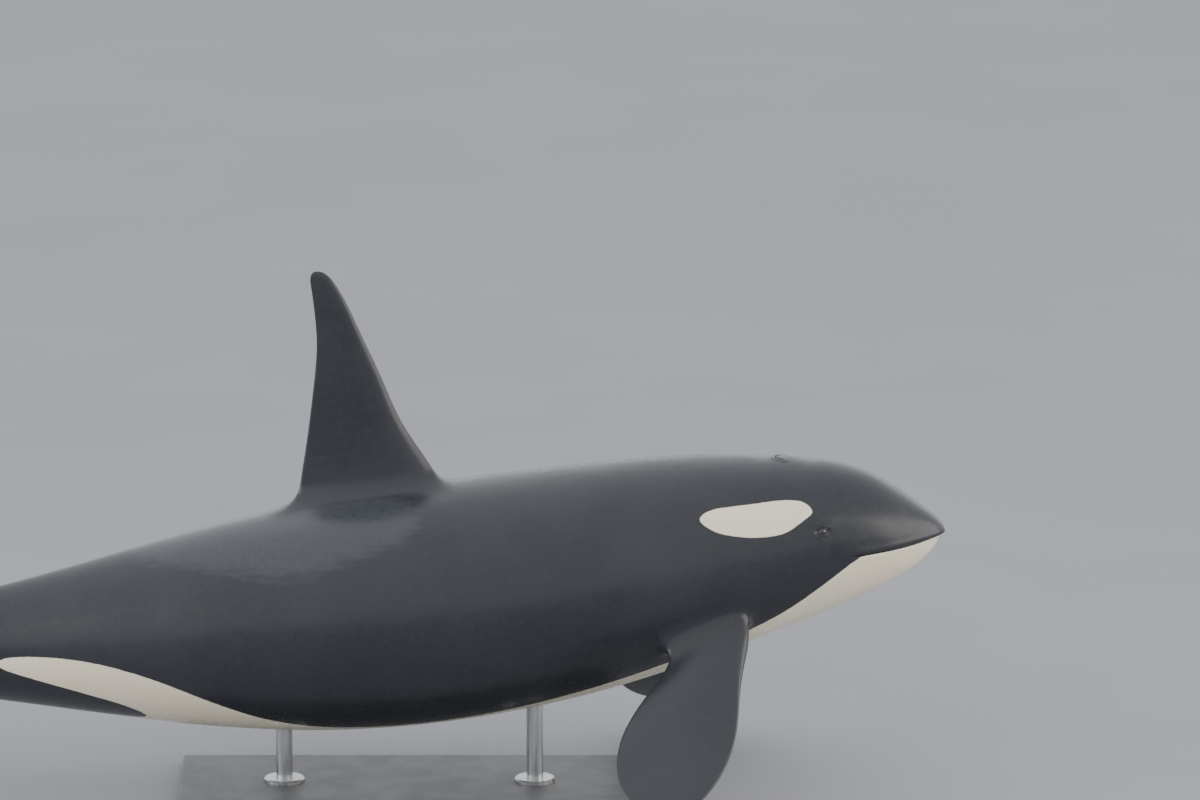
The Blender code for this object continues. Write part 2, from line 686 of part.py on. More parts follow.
def make_head(skin, throat, eye_material):
    """The head with its lids and blowhole, the lower jaw, and the two eyes."""
    head = new_object("head", welded_mesh("head", head_patches(), True), skin)
    new_object("lower_jaw", welded_mesh("lower_jaw", jaw_patches(), True), throat)
    lids, pockets = [], []
    for side, flip in (("right", np.array([1, 1, 1])), ("left", np.array([1, -1, 1]))):
        point, forward, up, out = (vector * flip for vector in eye_frame())
        lids.append(ridge(f"lid_{side}", lid_loop(point, forward, up, out), out))
        centre = point - EYE_SINK * out
        ball(f"eye_{side}", centre, EYE_RADIUS, (forward, up, out), eye_material)
        pockets.append(ball(f"pocket_{side}", centre, EYE_RADIUS + GAP * 1.5, (forward, up, out)))
    pad, slit = make_blowhole_tools()
    boolean(head, "UNION", [*lids, pad])
    boolean(head, "DIFFERENCE", [*pockets, slit])
    largest_piece(head)
    return head


def make_body(skin, fin_skin):
    """The lengths of the body behind the head, and the fins on them."""
    dorsal = Fin(DORSAL, FIN_HEIGHT, DORSAL_ROOT, dorsal_frame(), (9, DORSAL_COLUMNS), half=True)
    chest_columns = FLIPPER_COLUMNS[1] - FLIPPER_COLUMNS[0]
    fluke_columns = FLUKE_COLUMNS[1] - FLUKE_COLUMNS[0]
    flipper = Fin(FLIPPER, FLIPPER_LENGTH, FLIPPER_ROOT, flipper_frame(), (7, chest_columns))
    fluke = Fin(FLUKE, FLUKE_HALF_SPAN, FLUKE_ROOT, fluke_frame(), (9, fluke_columns), droop=-FLUKE_DROOP)
    chest = opening_stations(NECK, WAIST, FLIPPER_OPENING, 1, 7, 5)
    trunk = opening_stations(WAIST, LOIN, DORSAL_OPENING, 3, 9, 2)
    stock = opening_stations(STOCK, TAIL_END, FLUKE_OPENING, 6, 9, 1)
    body_length("chest", chest, skin, [(flipper, FLIPPER_OPENING, *FLIPPER_COLUMNS, FILLET_ROWS)])
    body_length("trunk", trunk, skin, [(dorsal, DORSAL_OPENING, 0, DORSAL_COLUMNS, FILLET_ROWS)])
    body_length("abdomen", stations_between(LOIN, STOCK, ABDOMEN_RINGS), skin)
    body_length("tail_stock", stock, skin, [(fluke, FLUKE_OPENING, *FLUKE_COLUMNS, FILLET_ROWS)])
    fin_object("dorsal_fin", dorsal, fin_skin, half=True)
    for name, fin in (("flipper", flipper), ("fluke", fluke)):
        right = fin_object(f"{name}_right", fin, fin_skin)
        new_object(f"{name}_left", mirror_mesh(right.data, f"{name}_left"), None)


def make_base(material):
    """The stand's flat base, with its edges broken."""
    made = bmesh.new()
    bmesh.ops.create_cube(made, size=1.0)
    for vert in made.verts:
        vert.co = [c * size for c, size in zip(vert.co, BASE_SIZE)]
        vert.co.z += BASE_SIZE[2] / 2
    upper = [e for e in made.edges if all(v.co.z > BASE_SIZE[2] / 2 for v in e.verts)]
    bmesh.ops.bevel(made, geom=upper, offset=BASE_EDGE, segments=2, profile=0.5, affect="EDGES")
    mesh = bpy.data.meshes.new("stand_base")
    made.to_mesh(mesh)
    made.free()
    return new_object("stand_base", mesh, material)


def make_rod(name, x, carried, material):
    """A rod with a round foot, from the base up to the belly that it carries."""
    bottom = BASE_SIZE[2] + GAP
    top = SPINE_HEIGHT
    bevel = FOOT_BEVEL * FOOT_HEIGHT
    turns = np.linspace(0.0, 2 * math.pi, ROD_SEGMENTS + 1)
    rows = []
    for radius, z in (
        (0.0, bottom),
        (FOOT_RADIUS, bottom),
        (FOOT_RADIUS, bottom + FOOT_HEIGHT - bevel),
        (FOOT_RADIUS - bevel, bottom + FOOT_HEIGHT),
        (ROD_RADIUS, bottom + FOOT_HEIGHT),
        (ROD_RADIUS, top),
        (0.0, top),
    ):
        rows.append(np.array([[x + radius * math.cos(t), radius * math.sin(t), z] for t in turns]))
    rod = new_object(name, welded_mesh(name, [rows], False), material)
    cutter = new_object(f"{name}_cutter", carried.data.copy(), None)
    for vert in cutter.data.vertices:
        vert.co += GAP * vert.normal
    boolean(rod, "DIFFERENCE", [cutter])
    largest_piece(rod)
    return rod


def main():
    for obj in list(bpy.data.objects):
        bpy.data.objects.remove(obj)
    skin = make_material("black_skin", (0.030, 0.032, 0.037), 0.32)
    throat = make_material("white_skin", (0.78, 0.76, 0.70), 0.35)
    eye = make_material("eye", (0.025, 0.018, 0.014), 0.08)
    steel = make_material("rod_steel", (0.55, 0.56, 0.58), 0.35, 1.0)
    plate = make_material("base_plate", (0.10, 0.10, 0.11), 0.5)
    make_head(skin, throat, eye)
    make_body(skin, skin)
    make_base(plate)
    for name, x in (("stand_rod_front", ROD_SPREAD / 2), ("stand_rod_rear", -ROD_SPREAD / 2)):
        make_rod(name, x, bpy.data.objects["trunk"], steel)


main()
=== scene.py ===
"""The looks of the orca model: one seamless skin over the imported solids, its marks, the eyes, the stand, and a plain studio.

The shape functions and sizes are those of part.py, drawn here more finely. The skin has real lids round
the eyes, a groove along the mouth with rounded lips, and a slit for a blowhole.
"""

import math

import bmesh
import bpy
import numpy as np
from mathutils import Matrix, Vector


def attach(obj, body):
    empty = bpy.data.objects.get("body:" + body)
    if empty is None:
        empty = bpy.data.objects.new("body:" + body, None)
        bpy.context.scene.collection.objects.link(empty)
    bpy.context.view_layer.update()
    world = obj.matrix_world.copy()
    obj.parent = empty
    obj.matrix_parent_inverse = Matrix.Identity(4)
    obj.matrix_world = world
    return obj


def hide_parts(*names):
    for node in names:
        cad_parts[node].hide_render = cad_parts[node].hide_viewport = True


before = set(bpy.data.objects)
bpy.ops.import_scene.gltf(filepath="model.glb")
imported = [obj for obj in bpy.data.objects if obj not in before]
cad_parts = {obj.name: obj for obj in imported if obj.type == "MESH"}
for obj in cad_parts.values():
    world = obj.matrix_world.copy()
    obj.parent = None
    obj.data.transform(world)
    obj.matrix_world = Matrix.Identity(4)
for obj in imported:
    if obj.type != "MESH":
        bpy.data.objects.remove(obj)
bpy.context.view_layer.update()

# Sizes, stations and outlines as in part.py.
BODY_LENGTH = 6.8
FIN_HEIGHT = 1.27
FLIPPER_LENGTH = 1.07
FLUKE_HALF_SPAN = 1.06
SPINE_HEIGHT = 1.06
SPINE_OVER_BASE = 0.43
PITCH = (
    (0.00, 4.5),
    (0.08, 6.4),
    (0.16, 8.0),
    (0.25, 8.5),
    (0.40, 7.8),
    (0.55, 6.8),
    (0.70, 5.0),
    (0.85, 2.0),
    (1.00, -2.0),
)
BODY = (
    (0.000, 0.0000, 0.0000, 0.0000, 0.0000, 0.85, 0.85),
    (0.012, 0.0176, 0.0172, 0.0200, 0.0000, 0.86, 0.84),
    (0.030, 0.0335, 0.0283, 0.0325, 0.0005, 0.90, 0.84),
    (0.055, 0.0525, 0.0385, 0.0435, 0.0015, 0.94, 0.86),
    (0.085, 0.0653, 0.0483, 0.0527, 0.0020, 0.97, 0.88),
    (0.130, 0.0749, 0.0608, 0.0645, 0.0015, 1.00, 0.92),
    (0.200, 0.0842, 0.0770, 0.0785, -0.0020, 1.00, 0.96),
    (0.280, 0.0887, 0.0915, 0.0890, -0.0060, 1.00, 1.00),
    (0.360, 0.0905, 0.0990, 0.0930, -0.0080, 1.00, 1.00),
    (0.440, 0.0900, 0.1000, 0.0915, -0.0070, 1.00, 1.00),
    (0.540, 0.0835, 0.0915, 0.0805, -0.0040, 1.05, 1.02),
    (0.640, 0.0685, 0.0730, 0.0620, -0.0010, 1.15, 1.10),
    (0.740, 0.0490, 0.0510, 0.0415, 0.0000, 1.28, 1.25),
    (0.840, 0.0320, 0.0325, 0.0240, 0.0000, 1.35, 1.35),
    (0.920, 0.0200, 0.0200, 0.0140, 0.0000, 1.30, 1.30),
    (0.965, 0.0105, 0.0105, 0.0085, 0.0000, 1.20, 1.20),
    (0.990, 0.0030, 0.0030, 0.0035, 0.0000, 1.00, 1.00),
)
NECK, TAIL_END = 0.145, 0.990
SNOUT, JAW_START, MOUTH_CORNER = 0.0001, 0.005, 0.078
MOUTH = ((0.000, 92.0), (0.020, 94.0), (0.040, 95.5), (0.060, 95.5), (0.078, 95.0))
DORSAL = (
    (0.00, -0.022, -0.022, 0.000),
    (0.15, 0.034, -0.053, 0.020),
    (0.30, 0.079, -0.060, 0.030),
    (0.45, 0.123, -0.067, 0.042),
    (0.60, 0.170, -0.090, 0.056),
    (0.75, 0.231, -0.154, 0.074),
    (0.88, 0.294, -0.231, 0.095),
    (1.00, 0.408, -0.320, 0.125),
)
FLIPPER = (
    (0.00, -0.500, -0.500, 0.000),
    (0.22, -0.340, -0.610, 0.024),
    (0.40, -0.200, -0.680, 0.038),
    (0.55, -0.090, -0.710, 0.050),
    (0.70, 0.000, -0.680, 0.066),
    (0.82, 0.065, -0.580, 0.086),
    (0.92, 0.140, -0.410, 0.108),
    (1.00, 0.215, -0.225, 0.130),
)
FLUKE = (
    (0.00, -0.190, -0.190, 0.000),
    (0.18, -0.105, -0.165, 0.014),
    (0.35, 0.000, -0.130, 0.022),
    (0.50, 0.097, -0.105, 0.030),
    (0.65, 0.200, -0.090, 0.040),
    (0.80, 0.310, -0.078, 0.054),
    (0.90, 0.382, -0.052, 0.068),
    (1.00, 0.468, 0.000, 0.088),
)
DORSAL_ROOT, FLIPPER_ROOT, FLUKE_ROOT = 0.10, 0.13, 0.17
DORSAL_OPENING = (0.381, 0.532)
FLIPPER_OPENING = (0.160, 0.238)
FLUKE_OPENING = (0.905, 0.988)
FLIPPER_ANGLE = 123.75  # degrees round from the back to the middle of the flipper's root
FLIPPER_DROP = 42.0
FLUKE_DROOP = 0.09
TRAILING_EDGE, THINNING, TIP_CROWDING = 0.010, 0.3, 0.75
NOSE_ANGLE, HEEL_ANGLE = 18.0, 166.0
FOIL = ((0.5, 1.4845), (1, -0.63), (2, -1.758), (3, 1.4215), (4, -0.518))
FILLET_ALONG, FILLET_UP, FILLET_ROOM = 0.55, 0.6, 0.6
WALL_PLACE = 0.97
EYE_STATION, EYE_LEVEL = 0.096, 0.150
EYE_RADIUS, EYE_SINK = 0.026, 0.020
BLOWHOLE_STATION, BLOWHOLE_RADIUS, BLOWHOLE_SPAN = 0.118, 0.055, 75.0

# How finely the skin is drawn. Columns are numbered from the back's midline to the belly's.
ABOVE, BELOW = 52, 44
DORSAL_COLUMNS, FLIPPER_COLUMNS, FLUKE_COLUMNS = (0, 8), (60, 72), (28, 68)
FINER = 3  # columns of a patch of fine skin to each of the body's
FILLET_ROWS = 11
WELD = 2e-5

# Lips and the groove between them, in metres.
LIP_LINES = (0.0, 0.0015, 0.0035, 0.0065, 0.011, 0.018, 0.028)
LIP_ROUND, LIP_SWELL, LIP_SWELL_AT = 0.007, 0.003, 0.022
MOUTH_DEPTH, MOUTH_GAP = 0.016, 0.0012
DARK_LIP = 0.005  # how far the black reaches down the lower lip

# The opening between the lids, and the patch of fine skin round it.
LID_HALF_LENGTH, LID_HALF_HEIGHT = 0.0215, 0.0120
LID_POINT = 0.25
LID_EDGE, LID_THICKNESS = 0.0004, 0.0022
SOCKET_ROOM = 0.0005
# Each fold's place and width by the ratio to the rim's size, its height in metres, its middle and
# reach in degrees round the eye from the front, and how far it shifts forward.
LID_FOLDS = (
    (1.60, 0.13, -0.0017, 92, 88, 0.05),
    (2.02, 0.30, 0.0024, 98, 84, 0.08),
    (2.62, 0.16, -0.0012, 118, 66, 0.16),
    (3.05, 0.34, 0.0014, 120, 62, 0.18),
    (1.56, 0.12, -0.0012, 268, 80, -0.04),
    (1.92, 0.26, 0.0018, 262, 76, -0.05),
    (2.48, 0.14, -0.0009, 240, 52, -0.14),
    (2.85, 0.30, 0.0010, 238, 50, -0.15),
    (2.30, 0.22, 0.0012, 15, 40, 0.05),
)
EYE_PATCH_REACH = (0.078, 0.062)
BLOWHOLE_REACH = 0.10
SLIT_HALF_WIDTH, SLIT_ROUND = 0.0035, 0.003
SLIT_STEPS = ((0.009, 0.15), (0.016, 0.45), (0.025, 0.80), (0.029, 0.92))  # how deep, and how far shut
SLIT_BOTTOM = 0.034
HORN_AIM = 0.07  # how far from the midline the skin's lines leave the slit's horn

# Marks: closed outlines in stations and degrees round from the back. Everything inside is white.
WHITE_BELLY = (
    (-0.10, 84), (0.040, 89), (0.062, 93), (0.073, 99), (0.086, 107), (0.104, 117), (0.128, 128), (0.155, 136),
    (0.190, 141), (0.240, 144), (0.310, 149), (0.38, 155), (0.45, 157), (0.505, 153), (0.550, 142), (0.590, 127),
    (0.630, 112), (0.670, 101), (0.705, 95), (0.738, 93), (0.757, 96), (0.755, 105), (0.730, 115), (0.695, 126),
    (0.665, 136), (0.648, 147), (0.650, 157), (0.672, 164), (0.705, 169), (0.735, 177), (0.73, 205), (-0.10, 205),
)
EYE_PATCH = (
    (0.1903, 55.0), (0.1862, 52.1), (0.1780, 50.2), (0.1655, 49.6), (0.1525, 49.3), (0.1390, 48.8),
    (0.1268, 48.4), (0.1177, 48.7), (0.1102, 50.2), (0.1051, 53.3), (0.1028, 57.0), (0.1042, 60.3),
    (0.1143, 65.9), (0.1221, 69.4), (0.1306, 71.0), (0.1420, 70.9), (0.1555, 69.4), (0.1683, 66.8),
    (0.1780, 64.0), (0.1842, 60.8), (0.1886, 57.7),
)
SADDLE = (
    (0.413, 36), (0.411, 27), (0.417, 18), (0.434, 9), (0.465, 5), (0.505, 5), (0.540, 3), (0.570, -5),
    (0.610, -9), (0.640, -2), (0.646, 12), (0.632, 26), (0.602, 39), (0.570, 48), (0.535, 54), (0.500, 55),
    (0.470, 51), (0.445, 47), (0.424, 43),
)
# Ahead of the notch and out from the midline, in metres, on the flukes' undersides.
FLUKE_WHITE = (
    (0.460, -0.05), (0.440, 0.08), (0.405, 0.20), (0.320, 0.36), (0.245, 0.52), (0.150, 0.68),
    (0.060, 0.82), (-0.015, 0.92), (-0.065, 0.96), (-0.085, 0.92), (-0.060, 0.82), (-0.045, 0.68),
    (-0.035, 0.52), (-0.015, 0.36), (0.040, 0.20), (0.110, 0.08), (0.130, -0.05),
)
BRIGHT_SKY = (-0.60, 0.80, 0.0)  # the way to the brightest part of the sky
SKY_LEAST, SKY_MOST = 0.97, 1.47
PLAIN_BLACK = 0.3  # a distance to white that is far enough to leave no trace of it


def smooth_curve(knots, values):
    """The natural cubic spline through values at knots."""
    knots, values = np.array(knots, float), np.array(values, float)
    steps = np.diff(knots)
    slopes = np.diff(values) / steps
    matrix = np.eye(len(knots))
    right = np.zeros(len(knots))
    for i in range(1, len(knots) - 1):
        matrix[i, i - 1 : i + 2] = steps[i - 1], 2 * (steps[i - 1] + steps[i]), steps[i]
        right[i] = 6 * (slopes[i] - slopes[i - 1])
    bends = np.linalg.solve(matrix, right)

    def at(place):
        i = np.clip(np.searchsorted(knots, place) - 1, 0, len(steps) - 1)
        ahead, behind, step = knots[i + 1] - place, place - knots[i], steps[i]
        return (
            (bends[i] * ahead**3 + bends[i + 1] * behind**3) / (6 * step)
            + (values[i] / step - bends[i] * step / 6) * ahead
            + (values[i + 1] / step - bends[i + 1] * step / 6) * behind
        )

    return at


def eased(share):
    share = np.clip(share, 0.0, 1.0)
    return share * share * (3 - 2 * share)


def unit(vectors):
    return vectors / np.linalg.norm(vectors, axis=-1, keepdims=True)


def hump(distance, centre, width):
    return np.exp(-(((distance - centre) / width) ** 2))


body_curves = [smooth_curve([math.sqrt(row[0]) for row in BODY], column) for column in list(zip(*BODY))[1:]]
pitch_curve = smooth_curve(*zip(*PITCH))
mouth_curve = smooth_curve(*zip(*MOUTH))


def make_spine(samples=400):
    stations = np.linspace(0.0, 1.0, samples + 1)
    pitch = np.radians(pitch_curve((stations[:-1] + stations[1:]) / 2))
    steps = -BODY_LENGTH / samples * np.stack([np.cos(pitch), np.sin(pitch)], axis=1)
    points = np.concatenate([[[0.0, 0.0]], np.cumsum(steps, axis=0)])
    over = [np.interp(SPINE_OVER_BASE, stations, points[:, i]) for i in range(2)]
    return stations, points - over + [0.0, SPINE_HEIGHT]


spine_stations, spine_points = make_spine()


def spine_frame(station):
    """The spine's points, its directions towards the head, and its up directions."""
    station = np.asarray(station, float)
    x, z = (np.interp(station, spine_stations, spine_points[:, i]) for i in range(2))
    pitch = np.radians(pitch_curve(station))
    none = np.zeros_like(x)
    forward = np.stack([np.cos(pitch), none, np.sin(pitch)], axis=-1)
    up = np.stack([-np.sin(pitch), none, np.cos(pitch)], axis=-1)
    return np.stack([x, none, z], axis=-1), forward, up


def bare_skin(station, angle):
    """Points of the right side's skin, with no lips, lids or folds."""
    station, angle = np.broadcast_arrays(np.asarray(station, float), np.asarray(angle, float))
    back, belly, width, level, narrow_back, narrow_belly = (curve(np.sqrt(station)) for curve in body_curves)
    above = np.cos(angle) > 0
    side = np.clip(np.sin(angle), 0.0, None) ** np.where(above, narrow_back, narrow_belly)
    reach = np.where(above, back - level, belly + level)
    centre, _, up = spine_frame(station)
    height = BODY_LENGTH * (level + reach * np.cos(angle))
    points = centre + height[..., None] * up
    points[..., 1] -= BODY_LENGTH * width * side
    return points


def skin_normal(station, angle, step=1e-3):
    """The right side's outward directions."""
    station, angle = np.broadcast_arrays(np.asarray(station, float), np.asarray(angle, float))
    low, high = np.maximum(station - step, 1e-4), np.minimum(station + step, TAIL_END)
    near, far = np.maximum(angle - step, 0.0), np.minimum(angle + step, math.pi)
    along = bare_skin(low, angle) - bare_skin(high, angle)
    around = bare_skin(station, far) - bare_skin(station, near)
    normal = unit(np.cross(around, along))
    ends = (angle < 1e-6) | (angle > math.pi - 1e-6)
    normal[..., 1] = np.where(ends, 0.0, normal[..., 1])
    return unit(normal)


def girth_radius(station):
    """The mean radius of the body at a station, in metres."""
    back, belly, width = (curve(np.sqrt(np.clip(station, 1e-4, TAIL_END))) for curve in body_curves[:3])
    return BODY_LENGTH * ((back + belly) / 2 + width) / 2


def mouth_angle(station):
    return np.radians(mouth_curve(np.clip(station, 0.0, MOUTH_CORNER)))


def place_on_skin(station, level):
    """The angle round from the back at which the skin is level metres over the spine."""
    angles = np.linspace(math.radians(20), math.radians(120), 2000)
    centre, _, up = spine_frame(station)
    levels = (bare_skin(station, angles) - centre) @ up
    return float(np.interp(-level, -levels, angles))


EYE_ANGLE = place_on_skin(EYE_STATION, EYE_LEVEL)


def eye_axes():
    out = skin_normal(EYE_STATION, EYE_ANGLE)
    ahead = spine_frame(EYE_STATION)[1]
    forward = unit(ahead - out * np.dot(ahead, out))
    return bare_skin(EYE_STATION, EYE_ANGLE), forward, np.cross(out, forward), out


EYE_POINT, EYE_FORWARD, EYE_UP, EYE_OUT = eye_axes()


def eye_flat(station, angle):
    """Places near the eye in metres: forward and up of its middle, in the plane that touches the skin."""
    away = bare_skin(station, angle) - EYE_POINT
    return away @ EYE_FORWARD, away @ EYE_UP


def blowhole_places(station, angle):
    """Places on the crown in metres behind the blowhole's centre and across, and their distance from its line."""
    x = (np.asarray(station) - BLOWHOLE_STATION) * BODY_LENGTH
    y = bare_skin(station, angle)[..., 1]
    turns = np.radians(np.linspace(0, BLOWHOLE_SPAN, 40))
    line = BLOWHOLE_RADIUS * np.stack([np.cos(turns), -np.sin(turns)])
    away = np.sqrt((x[..., None] - line[0]) ** 2 + (y[..., None] - line[1]) ** 2)
    return x, y, away.min(axis=-1)


def blowhole_relief(station, angle):
    """Soft lips round the slit, the plug before it, and the shallow dips ahead and behind."""
    x, y, away = blowhole_places(station, angle)
    lips = 0.004 * hump(away, 0.013, 0.014)
    plug = 0.003 * hump(x, -0.004, 0.034) * hump(y, 0.0, 0.034)
    dips = 0.005 * hump(x, 0.125, 0.045) * hump(y, 0.0, 0.10) + 0.005 * hump(x, -0.12, 0.06) * hump(y, 0.0, 0.10)
    return lips + plug - dips


def belly_relief(station, angle):
    """The navel, the slit behind it, and the vent."""
    across = (math.pi - angle) * girth_radius(station)
    navel = np.hypot((station - 0.445) * BODY_LENGTH, across)
    vent = np.hypot((station - 0.672) * BODY_LENGTH, across)
    slit = eased((0.036 - np.abs(station - 0.600)) / 0.012)
    lift = 0.004 * hump(navel, 0.040, 0.016) - 0.010 * hump(navel, 0.0, 0.024)
    lift += slit * (0.008 * hump(across, 0.030, 0.020) - 0.014 * hump(across, 0.0, 0.011))
    return lift - 0.010 * hump(vent, 0.0, 0.018)


def relief(station, angle):
    """How far folds and swellings lift the skin, in metres."""
    station, angle = np.broadcast_arrays(np.asarray(station, float), np.asarray(angle, float))
    degrees = np.degrees(angle)
    lift = np.zeros(station.shape)
    crown = (np.abs(station - BLOWHOLE_STATION) < 0.05) & (degrees < 60)
    if crown.any():
        lift[crown] += blowhole_relief(station[crown], angle[crown])
    belly = degrees > 120
    if belly.any():
        lift[belly] += belly_relief(station[belly], angle[belly])
    # The brow over the eye, the hollow behind the corner of the mouth, and the neck's faint waist.
    forward, up = (station - EYE_STATION) * BODY_LENGTH, (degrees - math.degrees(EYE_ANGLE)) / 20
    lift += 0.006 * hump(forward, -0.01, 0.10) * hump(up, -0.45, 0.5)
    lift -= 0.005 * hump(forward, -0.06, 0.07) * hump(up, 1.15, 0.45)
    lift -= 0.006 * hump(station, 0.152, 0.018) * hump(degrees, 45, 45)
    # Long soft swells of muscle along the flank and the stock.
    lift += 0.005 * hump(station, 0.62, 0.14) * np.sin(np.radians(degrees * 4 - 30)) * hump(degrees, 85, 40)
    lift -= 0.004 * hump(station, 0.30, 0.05) * hump(degrees, 75, 30)
    return lift


def lip_lift(distance):
    """How a lip rounds in towards the groove, distance metres from its edge."""
    inside = np.clip(LIP_ROUND - distance, 0.0, LIP_ROUND)
    round_in = LIP_ROUND - np.sqrt(LIP_ROUND**2 - inside**2)
    return LIP_SWELL * hump(distance, LIP_SWELL_AT, 0.016) - round_in


def lip_share(station):
    """1 along the mouth, fading to nothing at its corner and at the snout's tip."""
    return eased((MOUTH_CORNER - station) / 0.008) * eased(station / 0.002)


def column_angles(station):
    """The angles of all the columns at a station, crowded round the mouth's line on the head."""
    even = np.linspace(0.0, math.pi, ABOVE + BELOW + 1)
    if station >= NECK:
        return even
    line = float(mouth_angle(station))
    width = float(girth_radius(max(station, 1e-4)))
    crowd = np.minimum(np.array(LIP_LINES) / width, np.linspace(0.0, 0.45, len(LIP_LINES)))
    rest = (ABOVE + 2 - len(crowd), BELOW + 2 - len(crowd))
    above = np.concatenate([np.linspace(0.0, line - crowd[-1], rest[0])[:-1], line - crowd[::-1]])
    below = np.concatenate([line + crowd, np.linspace(line + crowd[-1], math.pi, rest[1])[1:]])
    share = eased((station - MOUTH_CORNER) / (NECK - MOUTH_CORNER))
    return (1 - share) * np.concatenate([above, below[1:]]) + share * even


def grid(stations):
    """Stations and angles of whole rings, as two tables."""
    angles = np.array([column_angles(station) for station in stations])
    return np.repeat(np.array(stations)[:, None], angles.shape[1], axis=1), angles


def lifted_skin(station, angle):
    """The skin behind the mouth, with its folds."""
    return bare_skin(station, angle) + relief(station, angle)[..., None] * skin_normal(station, angle)


def rounded_outline(outline, pieces=8):
    """A closed outline with its corners rounded by cubics through its points."""
    outline = np.array(outline, float)
    before, after, later = (np.roll(outline, -step, axis=0) for step in (-1, 1, 2))
    t = (np.arange(pieces) / pieces)[:, None, None]
    curve = 0.5 * (
        2 * outline
        + (after - before) * t
        + (2 * before - 5 * outline + 4 * after - later) * t**2
        + (3 * outline - before - 3 * after + later) * t**3
    )
    return curve.transpose(1, 0, 2).reshape(-1, 2)


def flat_distance(curve, places, scale):
    """Signed distances from places to a closed line, negative inside it, in units of scale."""
    best = np.full(len(places), np.inf)
    inside = np.zeros(len(places), bool)
    for start, end in zip(curve, np.roll(curve, -1, axis=0)):
        away, run = (places - start) * scale, (end - start) * scale
        share = np.sum(away * run, axis=-1) / np.maximum(np.sum(run * run, axis=-1), 1e-12)
        share = np.clip(share, 0.0, 1.0)[:, None]
        best = np.minimum(best, np.sum((away - share * run) ** 2, axis=-1))
        if end[1] != start[1]:
            crosses = (start[1] > places[:, 1]) != (end[1] > places[:, 1])
            at = start[0] + (places[:, 1] - start[1]) * (end[0] - start[0]) / (end[1] - start[1])
            inside ^= crosses & (places[:, 0] < at)
    return np.where(inside, -1.0, 1.0) * np.sqrt(best)


def mark_at(outline, station, angle):
    """Signed distances in metres to a mark's outline on the skin, negative inside it."""
    places = np.stack([station.ravel(), np.degrees(angle.ravel())], axis=1)
    scale = np.stack([np.full(station.size, BODY_LENGTH), np.radians(girth_radius(station.ravel()))], axis=1)
    return flat_distance(rounded_outline(outline), places, scale).reshape(station.shape)


def white_at(station, angle):
    """Distances to the white of the belly and of the patch behind the eye. The lips' edges stay black."""
    belly = mark_at(WHITE_BELLY, station, angle)
    lip = (mouth_angle(station) - angle) * girth_radius(station) + DARK_LIP
    belly = np.where(station < MOUTH_CORNER, np.maximum(belly, lip), belly)
    return np.minimum(belly, mark_at(EYE_PATCH, station, angle))


class Skin:
    """The right half of the skin, gathered patch by patch with its marks, then mirrored and welded."""

    # The marks: the white, the saddle, painted shade that darkens the recesses, and how soft each point is.
    MARKS = ("white", "saddle", "crease", "soft")

    def __init__(self):
        self.points, self.marks, self.faces = [], [], []
        self.count = 0

    def add(self, points, white=PLAIN_BLACK, saddle=1.0, crease=0.0, soft=0.0):
        """Adds a patch of rows of points, and returns the numbers of its points."""
        shape = points.shape[:2]
        marks = np.stack([np.broadcast_to(mark, shape) for mark in (white, saddle, crease, soft)], axis=-1)
        self.points.append(points.reshape(-1, 3))
        self.marks.append(marks.reshape(-1, 4))
        index = np.arange(shape[0] * shape[1]).reshape(shape) + self.count
        quads = np.stack([index[:-1, :-1], index[:-1, 1:], index[1:, 1:], index[1:, :-1]], axis=-1)
        self.faces += quads.reshape(-1, 4).tolist()
        self.count += index.size
        return index

    def bridge(self, coarse, fine):
        """Joins a row of point numbers to one with FINER times as many."""
        for i in range(len(coarse) - 1):
            between = fine[FINER * i : FINER * (i + 1) + 1]
            self.faces.append([int(coarse[i]), int(coarse[i + 1]), *(int(j) for j in between[::-1])])

    def mesh(self, name):
        points, marks = np.concatenate(self.points), np.concatenate(self.marks)
        points = np.concatenate([points, points * [1, -1, 1]])
        marks = np.concatenate([marks, marks])
        mirrored = [[self.count + i for i in reversed(face)] for face in self.faces]
        mesh = bpy.data.meshes.new(name)
        mesh.from_pydata(points.tolist(), [], self.faces + mirrored)
        for i, mark in enumerate(self.MARKS):
            layer = mesh.attributes.new(mark, "FLOAT", "POINT")
            layer.data.foreach_set("value", marks[:, i].astype(np.float32))
        made = bmesh.new()
        made.from_mesh(mesh)
        bmesh.ops.remove_doubles(made, verts=made.verts, dist=WELD)
        bmesh.ops.dissolve_degenerate(made, dist=WELD, edges=made.edges)
        bmesh.ops.recalc_face_normals(made, faces=made.faces)
        if made.calc_volume(signed=True) < 0:
            bmesh.ops.reverse_faces(made, faces=made.faces)
        made.to_mesh(mesh)
        made.free()
        mesh.shade_smooth()
        return mesh


def read_mesh(mesh, source, name, width, kind=np.float32):
    values = np.zeros(len(source) * width, kind)
    source.foreach_get(name, values)
    return values.reshape(-1, width) if width > 1 else values


def soften(mesh, rounds=25, more=90):
    """Relaxes the points marked as soft, so that fins grow out of the body without creases.

    Most rounds pull the points in and then push them out a little more, which keeps the broad shape.
    """
    points = read_mesh(mesh, mesh.vertices, "co", 3).astype(float)
    soft = read_mesh(mesh, mesh.attributes["soft"].data, "value", 1).astype(float)
    edges = read_mesh(mesh, mesh.edges, "vertices", 2, np.int32)
    edges = edges[(soft[edges] > 0).any(axis=1)]
    used, edges = np.unique(edges, return_inverse=True)
    edges = edges.reshape(-1, 2)
    ends, others = np.concatenate([edges, edges[:, ::-1]]).T
    near = np.bincount(ends)[:, None]
    here, soft = points[used], soft[used, None]
    for pull in [0.5] * rounds + [0.5, -0.52] * more:
        middle = np.stack([np.bincount(ends, column[others]) for column in here.T], axis=1) / near
        here = here + pull * soft * (middle - here)
    points[used] = here
    mesh.vertices.foreach_set("co", points.astype(np.float32).ravel())


